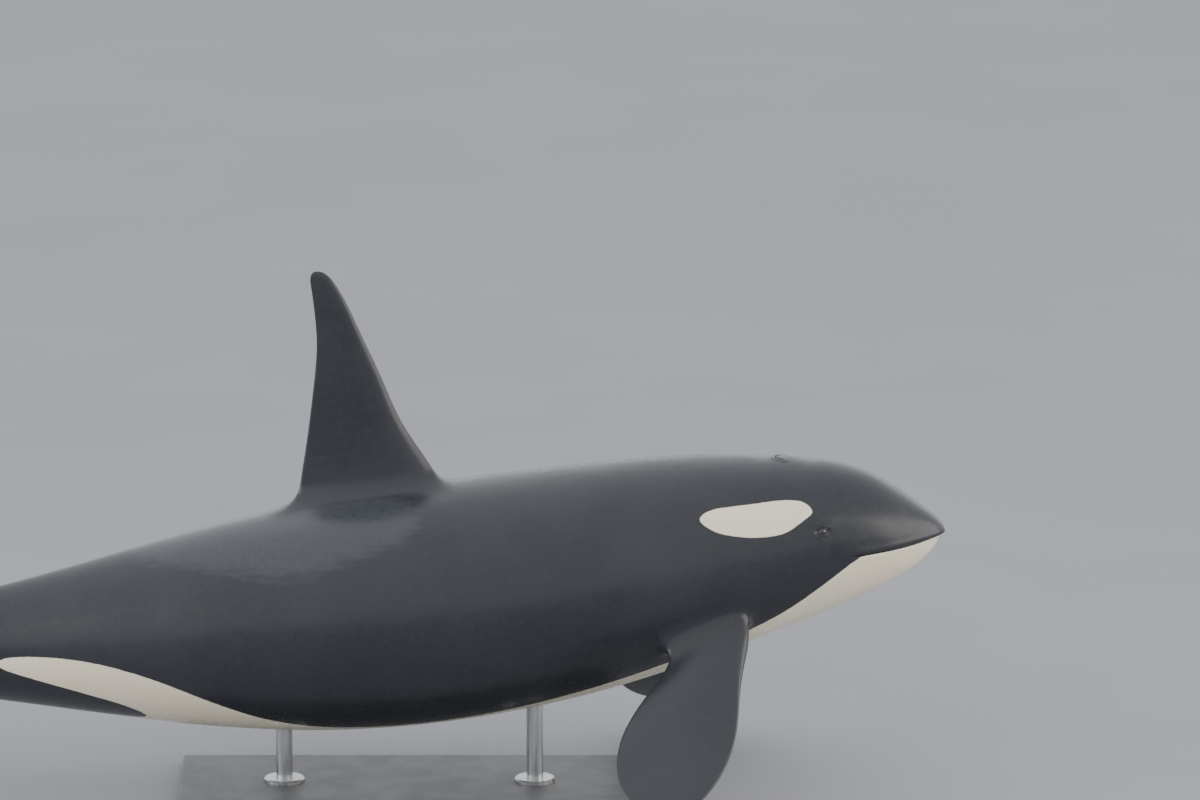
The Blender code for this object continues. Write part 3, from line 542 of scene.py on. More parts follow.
def fin_section(side_points, end_points, half):
    """Places round a fin's section, as in part.py."""
    nose, heel = math.radians(NOSE_ANGLE), math.radians(HEEL_ANGLE)
    side = np.linspace(nose, heel, side_points + 1)
    if half:
        front = np.linspace(0.0, nose, end_points + 1)[:-1]
        rear = np.linspace(heel, math.pi, end_points + 1)[1:]
        angles = np.concatenate([front, side, rear])
    else:
        front = np.linspace(-nose, nose, end_points + 1)[:-1]
        rear = np.linspace(heel, 2 * math.pi - heel, end_points + 1)[1:-1]
        angles = np.concatenate([front, side, rear, 2 * math.pi - side[::-1]])
    chord = (1 - np.cos(angles)) / 2
    foil = sum(factor * chord**power for power, factor in FOIL)
    edge = np.sqrt(chord) * np.minimum(1.0, np.abs(np.cos(angles / 2)) / math.cos(heel / 2))
    sign = np.where(np.sin(angles) >= 0, 1.0, -1.0)
    return chord, sign * foil, sign * edge


class Fin:
    """A fin's sections, as in part.py."""

    def __init__(self, outline, length, root, fin_frame, counts, half=False, droop=0.0):
        places = [row[0] for row in outline]
        self.curves = [smooth_curve(places, column) for column in list(zip(*outline))[1:]]
        self.length, self.root, self.droop = length, root, droop
        self.origin, self.forward, self.out, self.side = fin_frame
        self.chord, self.foil, self.edge = fin_section(*counts, half)

    def section(self, place):
        reach = self.length - (self.length - self.root) * place**2
        leading, trailing, thickness = (float(curve(place)) for curve in self.curves)
        ahead = leading + (trailing - leading) * self.chord
        least = TRAILING_EDGE / 2 * min(1.0, place / THINNING)
        across = max(thickness, 0.0) * self.foil + least * self.edge
        across = across - self.droop * ((reach - self.root) / (self.length - self.root)) ** 2
        return self.origin + np.outer(ahead, self.forward) + reach * self.out + np.outer(across, self.side)

    def blade(self, rows):
        return np.array([self.section(place) for place in np.linspace(1.0, 0.0, rows + 1) ** TIP_CROWDING])

    def fillet(self, border, normals, rows):
        end = self.section(1.0)
        wall = unit(unit(end - self.section(WALL_PLACE)) - 2 * self.out)
        away = end - border
        height = np.sum(away * normals, axis=1)[:, None]
        along = FILLET_ALONG * (away - height * normals)
        room = FILLET_ROOM * np.abs((border - self.origin) @ self.side)
        along *= np.minimum(1.0, room / (np.abs(along @ self.side) + WELD))[:, None]
        leave, arrive = border + along, end + FILLET_UP * np.abs(height) * wall
        t = np.linspace(0.0, 1.0, rows + 1)[:, None, None]
        s = 1 - t
        return s**3 * border + 3 * s * s * t * leave + 3 * s * t * t * arrive + t**3 * end


def border_of(table, rows, columns):
    """A block's closed border in a table, from its first corner along the first row."""
    first, last = rows
    low, high = columns
    front = [table[first, j] for j in range(low, high)]
    lower = [table[i, high] for i in range(first, last)]
    rear = [table[last, j] for j in range(high, low, -1)]
    upper = [table[i, low] for i in range(last, first - 1, -1)]
    return np.array(front + lower + rear + upper)


def half_border_of(table, rows, columns):
    """The same for a block that starts at the back's midline, which stays open."""
    first, last = rows
    high = columns[1]
    front = [table[first, j] for j in range(high)]
    lower = [table[i, high] for i in range(first, last)]
    rear = [table[last, j] for j in range(high, -1, -1)]
    return np.array(front + lower + rear)


def finer(row):
    """A row of places with FINER steps for each of its own."""
    steps = np.arange(len(row) - 1)[:, None] + np.arange(FINER) / FINER
    at = np.append(steps.ravel(), len(row) - 1)
    return np.stack([np.interp(at, np.arange(len(row)), column) for column in row.T], axis=1)


def stations_for(start, opening, end, before, inside, after):
    """Stations from start to end with the opening's two among them."""
    ahead = np.linspace(start, opening[0], before + 1)[:-1] if before else []
    along = np.linspace(opening[0], opening[1], inside + 1)
    return np.concatenate([ahead, along, np.linspace(opening[1], end, after + 1)[1:]])


class Length:
    """A length of the body as tables of stations, angles and points, to be added less its holes."""

    def __init__(self, stations):
        self.station, self.angle = grid(stations)
        self.points = lifted_skin(self.station, self.angle)
        self.holes = []
        self.soft = np.zeros(self.station.shape)

    def hole(self, rows, columns):
        self.holes.append((rows, columns))
        border = half_border_of if columns[0] == 0 else border_of
        return lambda table: border(table, rows, columns)

    def add_to(self, skin):
        white, saddle = white_at(self.station, self.angle), mark_at(SADDLE, self.station, self.angle)
        last_row, last_column = (count - 1 for count in self.station.shape)
        numbers = np.full(self.station.shape, -1)
        cuts = sorted({0, last_row, *(row for rows, _ in self.holes for row in rows)})
        for top, bottom in zip(cuts, cuts[1:]):
            low = 0
            for rows, columns in sorted(self.holes, key=lambda hole: hole[1]):
                if rows[0] <= top and bottom <= rows[1]:
                    self.add_block(skin, top, bottom, low, columns[0], white, saddle, numbers)
                    low = columns[1]
            self.add_block(skin, top, bottom, low, last_column, white, saddle, numbers)
        return numbers

    def add_block(self, skin, top, bottom, left, right, white, saddle, numbers):
        if right > left:
            block = (slice(top, bottom + 1), slice(left, right + 1))
            marks = {"white": white[block], "saddle": saddle[block], "soft": self.soft[block]}
            numbers[block] = skin.add(self.points[block], **marks)

    def grow(self, skin, fin, rows, columns, blade_rows, reach):
        """Opens the skin for a fin, and grows it from there. Reach is how far round it the skin is softened."""
        take = self.hole(rows, columns)
        border, normals = take(self.points), take(skin_normal(self.station, self.angle))
        fillet = fin.fillet(border, normals, FILLET_ROWS)
        blade = fin.blade(blade_rows)
        away = np.full(self.station.shape, np.inf)
        for point in border:
            away = np.minimum(away, np.linalg.norm(self.points - point, axis=-1))
        self.soft = np.maximum(self.soft, 1 - eased(away / reach))
        fade = np.concatenate([np.ones(FILLET_ROWS - 2), [0.9, 0.75, 0.55, 0.35, 0.2, 0.1]])
        soft = np.append(fade, np.zeros(FILLET_ROWS + blade_rows + 1 - len(fade)))[:, None]
        rise = np.linalg.norm(np.concatenate([fillet, blade[1:]]) - border, axis=-1)
        saddle = take(mark_at(SADDLE, self.station, self.angle)) + 2.0 * rise
        skin.add(np.concatenate([fillet, blade[1:]]), saddle=saddle, soft=soft)


def dorsal_frame():
    front, rear = (bare_skin(station, 0.0) for station in DORSAL_OPENING)
    forward = unit(front - rear)
    out = np.array([-forward[2], 0.0, forward[0]])
    return (front + rear) / 2, forward, out, np.array([0.0, -1.0, 0.0])


def flipper_frame():
    front, rear = (bare_skin(station, math.radians(FLIPPER_ANGLE)) for station in FLIPPER_OPENING)
    forward = unit(front - rear)
    up = spine_frame(sum(FLIPPER_OPENING) / 2)[2]
    drop = math.radians(FLIPPER_DROP)
    reach = -math.sin(drop) * up - math.cos(drop) * np.array([0.0, 1.0, 0.0])
    out = unit(reach - forward * np.dot(reach, forward))
    return (front + rear) / 2, forward, out, np.cross(forward, out)


def fluke_frame():
    notch, ahead, up = spine_frame(1.0)
    return notch, ahead, np.array([0.0, -1.0, 0.0]), -up


def add_body(skin):
    """The body from the neck to the tail's end, with its fins."""
    flipper_ends, fluke_ends = (high - low for low, high in (FLIPPER_COLUMNS, FLUKE_COLUMNS))
    chest = Length(stations_for(NECK, FLIPPER_OPENING, DORSAL_OPENING[0], 5, 24, 30))
    flipper = Fin(FLIPPER, FLIPPER_LENGTH, FLIPPER_ROOT, flipper_frame(), (24, flipper_ends))
    chest.grow(skin, flipper, (5, 29), FLIPPER_COLUMNS, 34, 0.16)
    chest.add_to(skin)

    trunk = Length(stations_for(DORSAL_OPENING[0], DORSAL_OPENING, 0.74, 0, 30, 34))
    dorsal = Fin(DORSAL, FIN_HEIGHT, DORSAL_ROOT, dorsal_frame(), (30, DORSAL_COLUMNS[1]), half=True)
    trunk.grow(skin, dorsal, (0, 30), DORSAL_COLUMNS, 52, 0.16)
    trunk.add_to(skin)

    stock = Length(stations_for(0.74, FLUKE_OPENING, TAIL_END, 26, 24, 1))
    fluke = Fin(FLUKE, FLUKE_HALF_SPAN, FLUKE_ROOT, fluke_frame(), (24, fluke_ends), droop=-FLUKE_DROOP)
    stock.grow(skin, fluke, (26, 50), FLUKE_COLUMNS, 36, 0.14)
    stock.add_to(skin)
    close(skin, stock.points[-1], soft=1.0)


def close(skin, row, soft=0.0):
    """Fills the midline side of a row of points."""
    middle = np.tile(row.mean(axis=0) * [1, 0, 1], (len(row), 1))
    skin.add(np.array([row, middle]), soft=soft)


def jaw_station(station):
    share = (station - JAW_START) / (MOUTH_CORNER - JAW_START)
    return SNOUT + (MOUTH_CORNER - SNOUT) * np.clip(share, 0.0, 1.0)


def jaw_row(station, share):
    """The lower jaw's half ring that meets the upper jaw's at a station."""
    jaw = float(jaw_station(station))
    angles = column_angles(jaw)[ABOVE:]
    radius, line = float(girth_radius(jaw)), float(mouth_angle(jaw))
    small = min(1.0, radius / 0.08)
    lift = relief(jaw, angles) + share * small * lip_lift((angles - line) * radius)
    onto = (bare_skin(station, float(mouth_angle(station))) - bare_skin(jaw, line)) * [1, 0, 1]
    row = bare_skin(jaw, angles) + onto + lift[:, None] * skin_normal(jaw, angles)
    row -= share * MOUTH_GAP * spine_frame(station)[2]
    row[-1, 1] = 0.0
    return row


def groove_row(station, edge, lower_edge, share):
    """Five points from the upper lip's edge in to the groove's end and out to the lower lip's edge."""
    gap = share * MOUTH_GAP / 2 * spine_frame(station)[2]
    roof = bare_skin(station, float(mouth_angle(station))) * [1, 0, 1]
    roof[1] = min(lower_edge[1] + share * MOUTH_DEPTH, 0.0)
    return np.array([edge, roof + gap, roof, roof - gap, lower_edge])


def add_mouth(skin):
    """The head as far back as the corner of the mouth: the upper jaw, the lower one and the groove."""
    front = np.geomspace(SNOUT, JAW_START, 12)[:-1]
    rear = JAW_START + (MOUTH_CORNER - JAW_START) * np.linspace(0.0, 1.0, 53) ** 1.4
    stations = np.concatenate([front, rear])
    upper, groove, lower = [], [], []
    for station in stations:
        angles = column_angles(station)[: ABOVE + 1]
        share = float(lip_share(station))
        inward = (float(mouth_angle(station)) - angles) * float(girth_radius(station))
        lift = relief(station, angles) + share * lip_lift(inward)
        row = bare_skin(station, angles) + lift[:, None] * skin_normal(station, angles)
        row[0, 1] = 0.0
        upper.append(row)
        if station < JAW_START:
            flat = row[-1] * [1, 0, 1] + np.linspace(1.0, 0.0, BELOW + 5)[:, None] * row[-1] * [0, 1, 0]
            groove.append(flat[:5])
            lower.append(flat[4:])
        else:
            lower.append(jaw_row(station, share))
            groove.append(groove_row(station, row[-1], lower[-1][0], share))
    upper, groove, lower = np.array(upper), np.array(groove), np.array(lower)
    groove[-1] = upper[-1, -1]
    lower[-1, 0] = upper[-1, -1]
    angle = np.array([column_angles(station) for station in stations])
    station = np.repeat(stations[:, None], angle.shape[1], axis=1)
    white = white_at(station, angle)
    # Painted shade down the mouth's groove: full inside it, less on the lips' edges, fading where the mouth ends.
    inside = np.tile([0.4, 1.0, 1.0, 1.0, 0.4], (len(stations), 1))
    under = (stations < JAW_START)[:, None]
    skin.add(upper, white=white[:, : ABOVE + 1])
    skin.add(groove, crease=inside * lip_share(stations)[:, None])
    skin.add(lower, white=np.where(under, PLAIN_BLACK, white[:, ABOVE:]))
    close(skin, np.concatenate([upper[0], groove[0][1:], lower[0][1:]]))


def add_throat(skin):
    """The head behind the corner of the mouth, with fine patches for the eye and the blowhole."""
    stations = np.linspace(MOUTH_CORNER, NECK, 53)
    throat = Length(stations)
    forward, up = eye_flat(throat.station, throat.angle)
    near = (np.abs(forward) < EYE_PATCH_REACH[0]) & (np.abs(up) < EYE_PATCH_REACH[1])
    rows, columns = np.nonzero(near)
    eye = throat.hole((rows.min() - 1, rows.max() + 1), (columns.min() - 1, columns.max() + 1))
    ends = [BLOWHOLE_STATION - 0.050 / BODY_LENGTH, BLOWHOLE_STATION + 0.105 / BODY_LENGTH]
    rows = tuple(int(np.argmin(np.abs(stations - end))) for end in ends)
    high = int(np.searchsorted(-throat.points[rows[0], : ABOVE // 2, 1], BLOWHOLE_REACH))
    blowhole = throat.hole(rows, (0, high))
    numbers = throat.add_to(skin)
    add_eye_patch(skin, throat, eye, numbers)
    add_blowhole_patch(skin, throat, blowhole, numbers)


def eye_rim(turn):
    """The lids' edge: forward and up of the eye's middle in metres."""
    rise = np.sin(turn) * np.abs(np.sin(turn)) ** LID_POINT
    return np.stack([LID_HALF_LENGTH * np.cos(turn), LID_HALF_HEIGHT * rise], axis=-1)


def lid_folds(ratio, turn):
    """The lids' rounded edge, and the folds and creases round them, by the ratio to the rim's size."""
    lift = LID_THICKNESS * hump(ratio, 1.20, 0.17) * (0.45 + 0.55 * np.abs(np.sin(turn)))
    for place, width, height, middle, reach, skew in LID_FOLDS:
        round_from = np.angle(np.exp(1j * (turn - math.radians(middle)))) / math.radians(reach)
        window = eased(1.25 * (1 - np.abs(round_from)))
        lift += height * window * hump(ratio * (1 + skew * np.cos(turn)), place, width)
    behind = np.angle(np.exp(1j * (turn - math.pi)))
    return lift + 0.0006 * np.cos(9 * behind + 0.6) * hump(behind, 0.0, 0.6) * hump(ratio, 2.1, 0.6)


def add_eye_patch(skin, throat, take, numbers):
    """Lids and folds round the eye, and the socket behind them."""
    outer = finer(take(np.stack([throat.station, throat.angle], axis=-1)))
    forward, up = eye_flat(outer[:, 0], outer[:, 1])
    turn = np.arctan2(up / EYE_PATCH_REACH[1], forward / EYE_PATCH_REACH[0])
    rim = eye_rim(turn)
    # From metres in the eye's plane to stations and angles, by the skin's own slopes.
    step = 1e-4
    ahead, around = eye_flat(EYE_STATION + step, EYE_ANGLE), eye_flat(EYE_STATION, EYE_ANGLE + step)
    slopes = np.array([[ahead[0], around[0]], [ahead[1], around[1]]], float) / step
    inner = rim @ np.linalg.inv(slopes).T + [EYE_STATION, EYE_ANGLE]
    rim_height = np.sqrt(EYE_RADIUS**2 - rim[:, 0] ** 2 - rim[:, 1] ** 2) - EYE_SINK + LID_EDGE
    shares = 1 - (1 - np.linspace(0.02, 1.0, 33)) ** 1.5
    loops, white = [], []
    for share in shares:
        place = (1 - share) * outer + share * inner
        x, z = eye_flat(place[:, 0], place[:, 1])
        ratio = np.hypot(x / LID_HALF_LENGTH, z / LID_HALF_HEIGHT)
        base, out = bare_skin(place[:, 0], place[:, 1]), skin_normal(place[:, 0], place[:, 1])
        plain = base + relief(place[:, 0], place[:, 1])[:, None] * out
        settled = eased(share / 0.30)[None] * np.ones(len(place))
        near = hump(ratio, 1.0, 0.95)
        height = (plain - EYE_POINT) @ EYE_OUT
        lift = near * (rim_height - height) + settled * (lid_folds(ratio, turn) - lid_folds(1.0, turn) * near)
        loops.append(plain + (settled * lift)[:, None] * EYE_OUT)
        white.append(white_at(place[:, 0], place[:, 1]))
    centre = EYE_POINT - EYE_SINK * EYE_OUT
    room = EYE_RADIUS + SOCKET_ROOM
    size = np.hypot(rim[:, 0], rim[:, 1])
    heading = (rim[:, :1] * EYE_FORWARD + rim[:, 1:] * EYE_UP) / size[:, None]
    start = np.arcsin(np.clip(size / room, 0, 1))
    for share in np.linspace(0.05, 1.0, 10) ** 1.5:
        polar = (1 - share) * start + share * math.pi
        loops.append(centre + room * (np.sin(polar)[:, None] * heading + np.cos(polar)[:, None] * EYE_OUT))
    # Painted shade: half on the lids' edge, full over the socket round the eyeball.
    crease = np.zeros(len(loops))
    crease[len(shares) - 1] = 0.5
    crease[len(shares) :] = 1.0
    white += [np.full(len(outer), PLAIN_BLACK)] * (len(loops) - len(shares))
    made = skin.add(np.array(loops), white=np.array(white), crease=crease[:, None])
    skin.bridge(take(numbers), made[0])


def crown_angle(station, width):
    """The angles at which the crown's skin is width metres from the midline."""
    low, high = np.zeros(len(station)), np.full(len(station), math.radians(60))
    for _ in range(24):
        angle = (low + high) / 2
        short = -bare_skin(station, angle)[:, 1] < width
        low, high = np.where(short, angle, low), np.where(short, high, angle)
    return low


def crown_points(place, depth):
    """Points of the crown from metres behind the blowhole's centre and across, depth metres under the skin."""
    station = BLOWHOLE_STATION + place[:, 0] / BODY_LENGTH
    angle = crown_angle(station, -place[:, 1])
    lift = relief(station, angle) - depth
    return bare_skin(station, angle) + lift[:, None] * skin_normal(station, angle)


def add_blowhole_patch(skin, throat, take, numbers):
    """The crescent slit on the crown, from a block of the grid that the midline halves."""
    outer = finer(take(np.stack([throat.station, throat.angle], axis=-1)))
    across = bare_skin(outer[:, 0], outer[:, 1])[:, 1]
    flat = np.stack([(outer[:, 0] - BLOWHOLE_STATION) * BODY_LENGTH, across], axis=-1)
    # The slit's edge, from the middle of its front side round the horn to the middle of its rear side.
    horn = int(np.argmin(np.hypot(flat[:, 0] - flat[0, 0], flat[:, 1] + HORN_AIM)))
    turns = np.concatenate([np.linspace(0.0, 1.0, horn + 1), np.linspace(1.0, 0.0, len(flat) - horn)[1:]])
    half = SLIT_HALF_WIDTH * np.sqrt(np.clip(np.cos(turns * math.pi / 2), 0.0, 1.0))
    side = np.where(np.arange(len(flat)) <= horn, -1.0, 1.0)
    turns = turns * math.radians(BLOWHOLE_SPAN)
    arc = np.stack([np.cos(turns), -np.sin(turns)], axis=-1)
    edge = (BLOWHOLE_RADIUS + side * half)[:, None] * arc
    # The slit gets painted shade: growing where the lips round in, and full down its walls and bottom.
    loops, crease = [], []
    tight = half / SLIT_HALF_WIDTH
    for share in 1 - (1 - np.linspace(0.02, 1.0, 28)) ** 1.6:
        round_in = SLIT_ROUND * eased((share - 0.80) / 0.20) ** 2
        loops.append(crown_points((1 - share) * flat + share * edge, round_in * tight))
        crease.append(0.8 * eased((share - 0.92) / 0.08) * tight)
    for depth, shut in SLIT_STEPS:
        place = (BLOWHOLE_RADIUS + (1 - shut) * side * half)[:, None] * arc
        loops.append(crown_points(place, depth * tight))
        crease.append(tight)
    bottom = np.tile([[BLOWHOLE_RADIUS, 0.0]], (len(flat), 1))
    loops.append(crown_points(bottom, SLIT_BOTTOM))
    crease.append(tight)
    loops = np.array(loops)
    loops[:, [0, -1], 1] = 0.0
    made = skin.add(loops, crease=np.array(crease))
    skin.bridge(take(numbers), made[0])


def mark_flukes(mesh):
    """White undersides with dark edges, on every point near the tail's end."""
    points = read_mesh(mesh, mesh.vertices, "co", 3).astype(float)
    normals = read_mesh(mesh, mesh.vertices, "normal", 3)
    white = read_mesh(mesh, mesh.attributes["white"].data, "value", 1)
    notch, ahead, _ = spine_frame(1.0)
    flat = np.stack([(points - notch) @ ahead, np.abs(points[:, 1])], axis=1)
    near = flat[:, 0] < 0.75
    distance = flat_distance(rounded_outline(FLUKE_WHITE), flat[near], np.ones(2))
    white[near] = np.maximum(distance, normals[near, 2] * 0.06 + 0.01)
    mesh.attributes["white"].data.foreach_set("value", white)


def new_object(name, mesh, *materials):
    obj = bpy.data.objects.new(name, mesh)
    bpy.context.scene.collection.objects.link(obj)
    for material in materials:
        mesh.materials.append(material)
    return obj


def make_skin():
    skin = Skin()
    add_mouth(skin)
    add_throat(skin)
    add_body(skin)
    mesh = skin.mesh("skin")
    soften(mesh)
    mark_flukes(mesh)
    return new_object("skin", mesh, skin_material())


class Nodes:
    """A short way to write a material's nodes."""

    def __init__(self, name):
        self.material = bpy.data.materials.new(name)
        self.material.use_nodes = True
        self.tree = self.material.node_tree
        self.shader = self.tree.nodes["Principled BSDF"]

    def link(self, value, socket):
        if isinstance(value, bpy.types.NodeSocket):
            self.tree.links.new(value, socket)
        else:
            socket.default_value = value

    def node(self, kind, inputs=(), out=0, **settings):
        node = self.tree.nodes.new(kind)
        for name, value in settings.items():
            setattr(node, name, value)
        for name, value in dict(inputs).items():
            self.link(value, node.inputs[name])
        return node.outputs[out]

    def mark(self, name):
        return self.node("ShaderNodeAttribute", out="Fac", attribute_name=name)

    def place(self, scale=(1.0, 1.0, 1.0)):
        here = self.node("ShaderNodeTexCoord", out="Object")
        return self.node("ShaderNodeMapping", {"Vector": here, "Scale": scale})

    def noise(self, scale, detail=4.0, rough=0.55, stretch=(1.0, 1.0, 1.0), distortion=0.0):
        inputs = {
            "Vector": self.place(stretch),
            "Scale": scale,
            "Detail": detail,
            "Roughness": rough,
            "Distortion": distortion,
        }
        return self.node("ShaderNodeTexNoise", inputs, out="Fac")

    def math(self, operation, a, b=0.0, c=0.0):
        return self.node("ShaderNodeMath", {0: a, 1: b, 2: c}, operation=operation)

    def span(self, value, low, high, to_low=0.0, to_high=1.0):
        inputs = {"Value": value, "From Min": low, "From Max": high, "To Min": to_low, "To Max": to_high}
        return self.node("ShaderNodeMapRange", inputs, interpolation_type="SMOOTHSTEP")

    def mix(self, share, a, b):
        node = self.tree.nodes.new("ShaderNodeMix")
        node.data_type = "RGBA"
        for value, kind in ((share, "Factor_Float"), (a, "A_Color"), (b, "B_Color")):
            self.link(value, next(socket for socket in node.inputs if socket.identifier == kind))
        return next(socket for socket in node.outputs if socket.identifier == "Result_Color")

    def bump(self, height, strength, distance, normal=None):
        inputs = {"Height": height, "Strength": strength, "Distance": distance}
        if normal:
            inputs["Normal"] = normal
        return self.node("ShaderNodeBump", inputs)

    def set(self, **values):
        for name, value in values.items():
            self.link(value, self.shader.inputs[name.replace("_", " ")])
        return self.material


def skin_material():
    n = Nodes("orca_skin")
    broad = n.noise(1.3, 3.0)
    fine = n.noise(26.0, 5.0, 0.6)
    grain = n.noise(160.0, 2.0, 0.5)
    streaks = n.noise(5.0, 6.0, 0.65, (1.0, 5.0, 7.0))
    scars = n.noise(7.0, 8.0, 0.75, (1.2, 22.0, 22.0), 0.4)
    black = n.mix(n.span(broad, 0.35, 0.70), (0.0225, 0.0245, 0.0315, 1), (0.0310, 0.0330, 0.0410, 1))
    black = n.mix(n.span(fine, 0.45, 0.80, 0.0, 0.35), black, (0.040, 0.041, 0.046, 1))
    black = n.mix(n.span(scars, 0.675, 0.71, 0.0, 0.25), black, (0.085, 0.087, 0.092, 1))
    ragged = n.math("MULTIPLY_ADD", streaks, 0.18, -0.09)
    saddle = n.span(n.math("ADD", n.mark("saddle"), ragged), 0.05, -0.06)
    saddle = n.math("MULTIPLY", saddle, n.span(fine, 0.20, 0.80, 0.60, 0.95))
    black = n.mix(saddle, black, (0.057, 0.063, 0.075, 1))
    white = n.mix(n.span(broad, 0.30, 0.70), (0.95, 0.868, 0.69, 1), (0.91, 0.823, 0.64, 1))
    white = n.mix(n.span(fine, 0.50, 0.85, 0.0, 0.30), white, (0.77, 0.70, 0.55, 1))
    wander = n.math("MULTIPLY_ADD", n.noise(30.0, 4.0, 0.6), 0.006, -0.003)
    whiteness = n.span(n.math("ADD", n.mark("white"), wander), 0.0022, -0.0022)
    colour = n.mix(whiteness, black, white)
    # Painted shade: near-black down the mouth's groove, in the blowhole's slit and over the socket round the eyeball.
    colour = n.mix(n.math("MULTIPLY", n.mark("crease"), 0.92), colour, (0.008, 0.007, 0.008, 1))
    rough = n.math("ADD", n.span(fine, 0.25, 0.75, 0.22, 0.32), n.span(broad, 0.3, 0.7, -0.03, 0.05))
    ripple = n.bump(n.noise(3.4, 1.0, 0.4, (1.0, 1.6, 1.6)), 0.30, 0.012)
    pores = n.bump(grain, 0.03, 0.0010, ripple)
    n.shader.inputs["Coat Weight"].default_value = 0.05
    n.shader.inputs["Coat Roughness"].default_value = 0.22
    return n.set(Base_Color=colour, Roughness=rough, Normal=pores)


def eye_material():
    n = Nodes("orca_eye")
    across, up = n.mark("across"), n.mark("up")
    wide, tall = n.math("DIVIDE", across, 0.0052), n.math("DIVIDE", up, 0.0034)
    pupil = n.math("SQRT", n.math("ADD", n.math("MULTIPLY", wide, wide), n.math("MULTIPLY", tall, tall)))
    iris = n.math("SQRT", n.math("ADD", n.math("MULTIPLY", across, across), n.math("MULTIPLY", up, up)))
    fibres = n.noise(420.0, 4.0, 0.7)
    brown = n.mix(n.span(fibres, 0.30, 0.70), (0.030, 0.016, 0.009, 1), (0.065, 0.035, 0.018, 1))
    ring = n.mix(n.span(iris, 0.0090, 0.0110), brown, (0.012, 0.012, 0.015, 1))
    white = n.mix(n.span(fibres, 0.40, 0.70), (0.060, 0.048, 0.046, 1), (0.040, 0.026, 0.026, 1))
    ball = n.mix(n.span(iris, 0.0135, 0.0165), ring, white)
    colour = n.mix(n.span(pupil, 1.10, 0.92), ball, (0.003, 0.003, 0.004, 1))
    n.shader.inputs["Coat Weight"].default_value = 1.0
    n.shader.inputs["Coat Roughness"].default_value = 0.03
    rough = n.span(fibres, 0.20, 0.80, 0.10, 0.18)
    return n.set(Base_Color=colour, Roughness=rough, Normal=n.bump(fibres, 0.05, 0.0003))


def metal_material(name, dark, light, rough, metallic, scale, stretch):
    n = Nodes(name)
    grain = n.noise(scale, 5.0, 0.6, stretch)
    cloud = n.noise(6.0, 3.0)
    colour = n.mix(n.span(grain, 0.30, 0.70), (*dark, 1), (*light, 1))
    colour = n.mix(n.span(cloud, 0.45, 0.80, 0.0, 0.4), colour, (*(0.8 * part for part in dark), 1))
    n.shader.inputs["Metallic"].default_value = metallic
    roughness = n.math("ADD", n.span(grain, 0.3, 0.7, rough - 0.05, rough + 0.06), n.span(cloud, 0.3, 0.7, -0.03, 0.04))
    return n.set(Base_Color=colour, Roughness=roughness, Normal=n.bump(grain, 0.10, 0.0008))


def make_eye(side, material):
    """An eyeball, marked with how far each of its points lies from the line of sight."""
    flip = np.array([1, 1 if side == "right" else -1, 1])
    made = bmesh.new()
    bmesh.ops.create_uvsphere(made, u_segments=64, v_segments=40, radius=1.0)
    mesh = bpy.data.meshes.new(f"eyeball_{side}")
    made.to_mesh(mesh)
    made.free()
    local = read_mesh(mesh, mesh.vertices, "co", 3).astype(float)
    axes = np.array([EYE_FORWARD, EYE_UP, EYE_OUT]) * flip
    points = (EYE_POINT - EYE_SINK * EYE_OUT) * flip + EYE_RADIUS * local @ axes
    mesh.vertices.foreach_set("co", points.astype(np.float32).ravel())
    for column, name in enumerate(("across", "up")):
        layer = mesh.attributes.new(name, "FLOAT", "POINT")
        values = np.where(local[:, 2] > 0, local[:, column], 1.0) * EYE_RADIUS
        layer.data.foreach_set("value", values.astype(np.float32))
    if side == "left":
        mesh.flip_normals()
    mesh.shade_smooth()
    return new_object(f"eyeball_{side}", mesh, material)


def make_floor():
    size = 1000.0
    corners = [(-size, -size, 0), (size, -size, 0), (size, size, 0), (-size, size, 0)]
    mesh = bpy.data.meshes.new("floor")
    mesh.from_pydata(corners, [], [(0, 1, 2, 3)])
    n = Nodes("studio_floor")
    cloud = n.noise(0.5, 2.0)
    colour = n.mix(n.span(cloud, 0.30, 0.70), (0.312, 0.319, 0.343, 1), (0.332, 0.339, 0.363, 1))
    return new_object("floor", mesh, n.set(Base_Color=colour, Roughness=n.span(cloud, 0.3, 0.7, 0.85, 0.92)))


def add_lamp(name, size, energy, place, aim, colour):
    lamp = bpy.data.lights.new(name, "AREA")
    lamp.shape, lamp.size, lamp.size_y = "RECTANGLE", *size
    lamp.energy, lamp.color = energy, colour
    obj = bpy.data.objects.new(name, lamp)
    bpy.context.scene.collection.objects.link(obj)
    obj.location = place
    obj.rotation_euler = (Vector(aim) - Vector(place)).to_track_quat("-Z", "Y").to_euler()


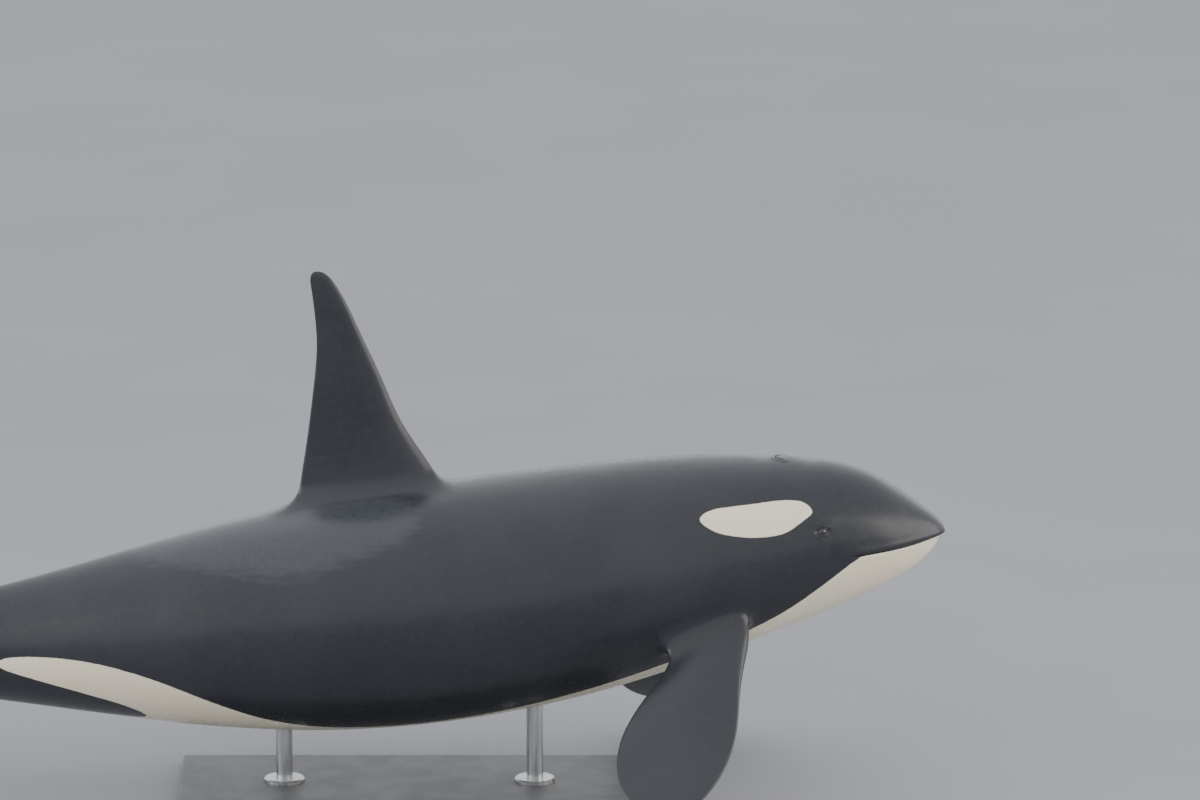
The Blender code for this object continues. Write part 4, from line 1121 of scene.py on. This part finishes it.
def make_studio():
    """Light as from an overcast sky, brightest behind the animal's tail, with two large soft lamps."""
    world = bpy.data.worlds.new("studio")
    bpy.context.scene.world = world
    world.use_nodes = True
    nodes, links = world.node_tree.nodes, world.node_tree.links
    background = nodes["Background"]
    way = nodes.new("ShaderNodeTexCoord")
    along = nodes.new("ShaderNodeVectorMath")
    along.operation = "DOT_PRODUCT"
    along.inputs[1].default_value = BRIGHT_SKY
    strength = nodes.new("ShaderNodeMapRange")
    strength.inputs["From Min"].default_value = -1.0
    strength.inputs["To Min"].default_value = SKY_LEAST
    strength.inputs["To Max"].default_value = SKY_MOST
    links.new(way.outputs["Generated"], along.inputs[0])
    links.new(along.outputs["Value"], strength.inputs["Value"])
    links.new(strength.outputs["Result"], background.inputs["Strength"])
    background.inputs["Color"].default_value = (0.95, 0.97, 1.0, 1)
    add_lamp("tail_fill", (12.0, 6.0), 900, (-14.0, -5.0, 4.5), (0.0, 0.0, 1.2), (1.0, 0.97, 0.92))
    add_lamp("head_fill", (22.0, 10.0), 1800, (18.0, -4.5, 6.5), (2.0, 0.0, 1.2), (1.0, 0.95, 0.86))


def make_camera():
    """A long lens at the photo's height and side, with the snout where the photo has it."""
    elevation = math.radians(13.0)
    scale = 184.0  # pixels to the metre at the animal, in a picture 1200 wide and 800 high
    snout_at = (943.0, 530.0)
    lens, sensor, width, height = 300.0, 36.0, 1200.0, 800.0
    away = np.array([0.0, -math.cos(elevation), math.sin(elevation)])
    up = np.array([0.0, math.sin(elevation), math.cos(elevation)])
    snout = spine_frame(0.0)[0]
    across = snout[0] - (snout_at[0] - width / 2) / scale
    level = float(snout @ up) + (snout_at[1] - height / 2) / scale
    distance = lens / sensor * width / scale
    data = bpy.data.cameras.new("camera")
    data.lens, data.sensor_width, data.clip_end = lens, sensor, 3000.0
    camera = bpy.data.objects.new("camera", data)
    bpy.context.scene.collection.objects.link(camera)
    camera.location = np.array([across, 0.0, 0.0]) + level * up + distance * away
    camera.rotation_euler = (math.pi / 2 - elevation, 0.0, 0.0)
    bpy.context.scene.camera = camera


def dress():
    skin = make_skin()
    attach(skin, "root")
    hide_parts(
        "head",
        "lower_jaw",
        "chest",
        "trunk",
        "abdomen",
        "tail_stock",
        "dorsal_fin",
        "flipper_left",
        "flipper_right",
        "fluke_left",
        "fluke_right",
    )
    glass = eye_material()
    for side in ("right", "left"):
        eye = make_eye(side, glass)
        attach(eye, "root")
        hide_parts(f"eye_{side}")
    plate = metal_material("base_coat", (0.075, 0.078, 0.084), (0.092, 0.095, 0.102), 0.48, 0.0, 90.0, (1, 1, 1))
    steel = metal_material("rod_steel", (0.46, 0.47, 0.49), (0.60, 0.61, 0.63), 0.33, 1.0, 40.0, (1, 1, 0.06))
    for name, material in (("stand_base", plate), ("stand_rod_front", steel), ("stand_rod_rear", steel)):
        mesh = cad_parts[name].data
        mesh.materials.clear()
        mesh.materials.append(material)


dress()
make_floor()
make_studio()
make_camera()
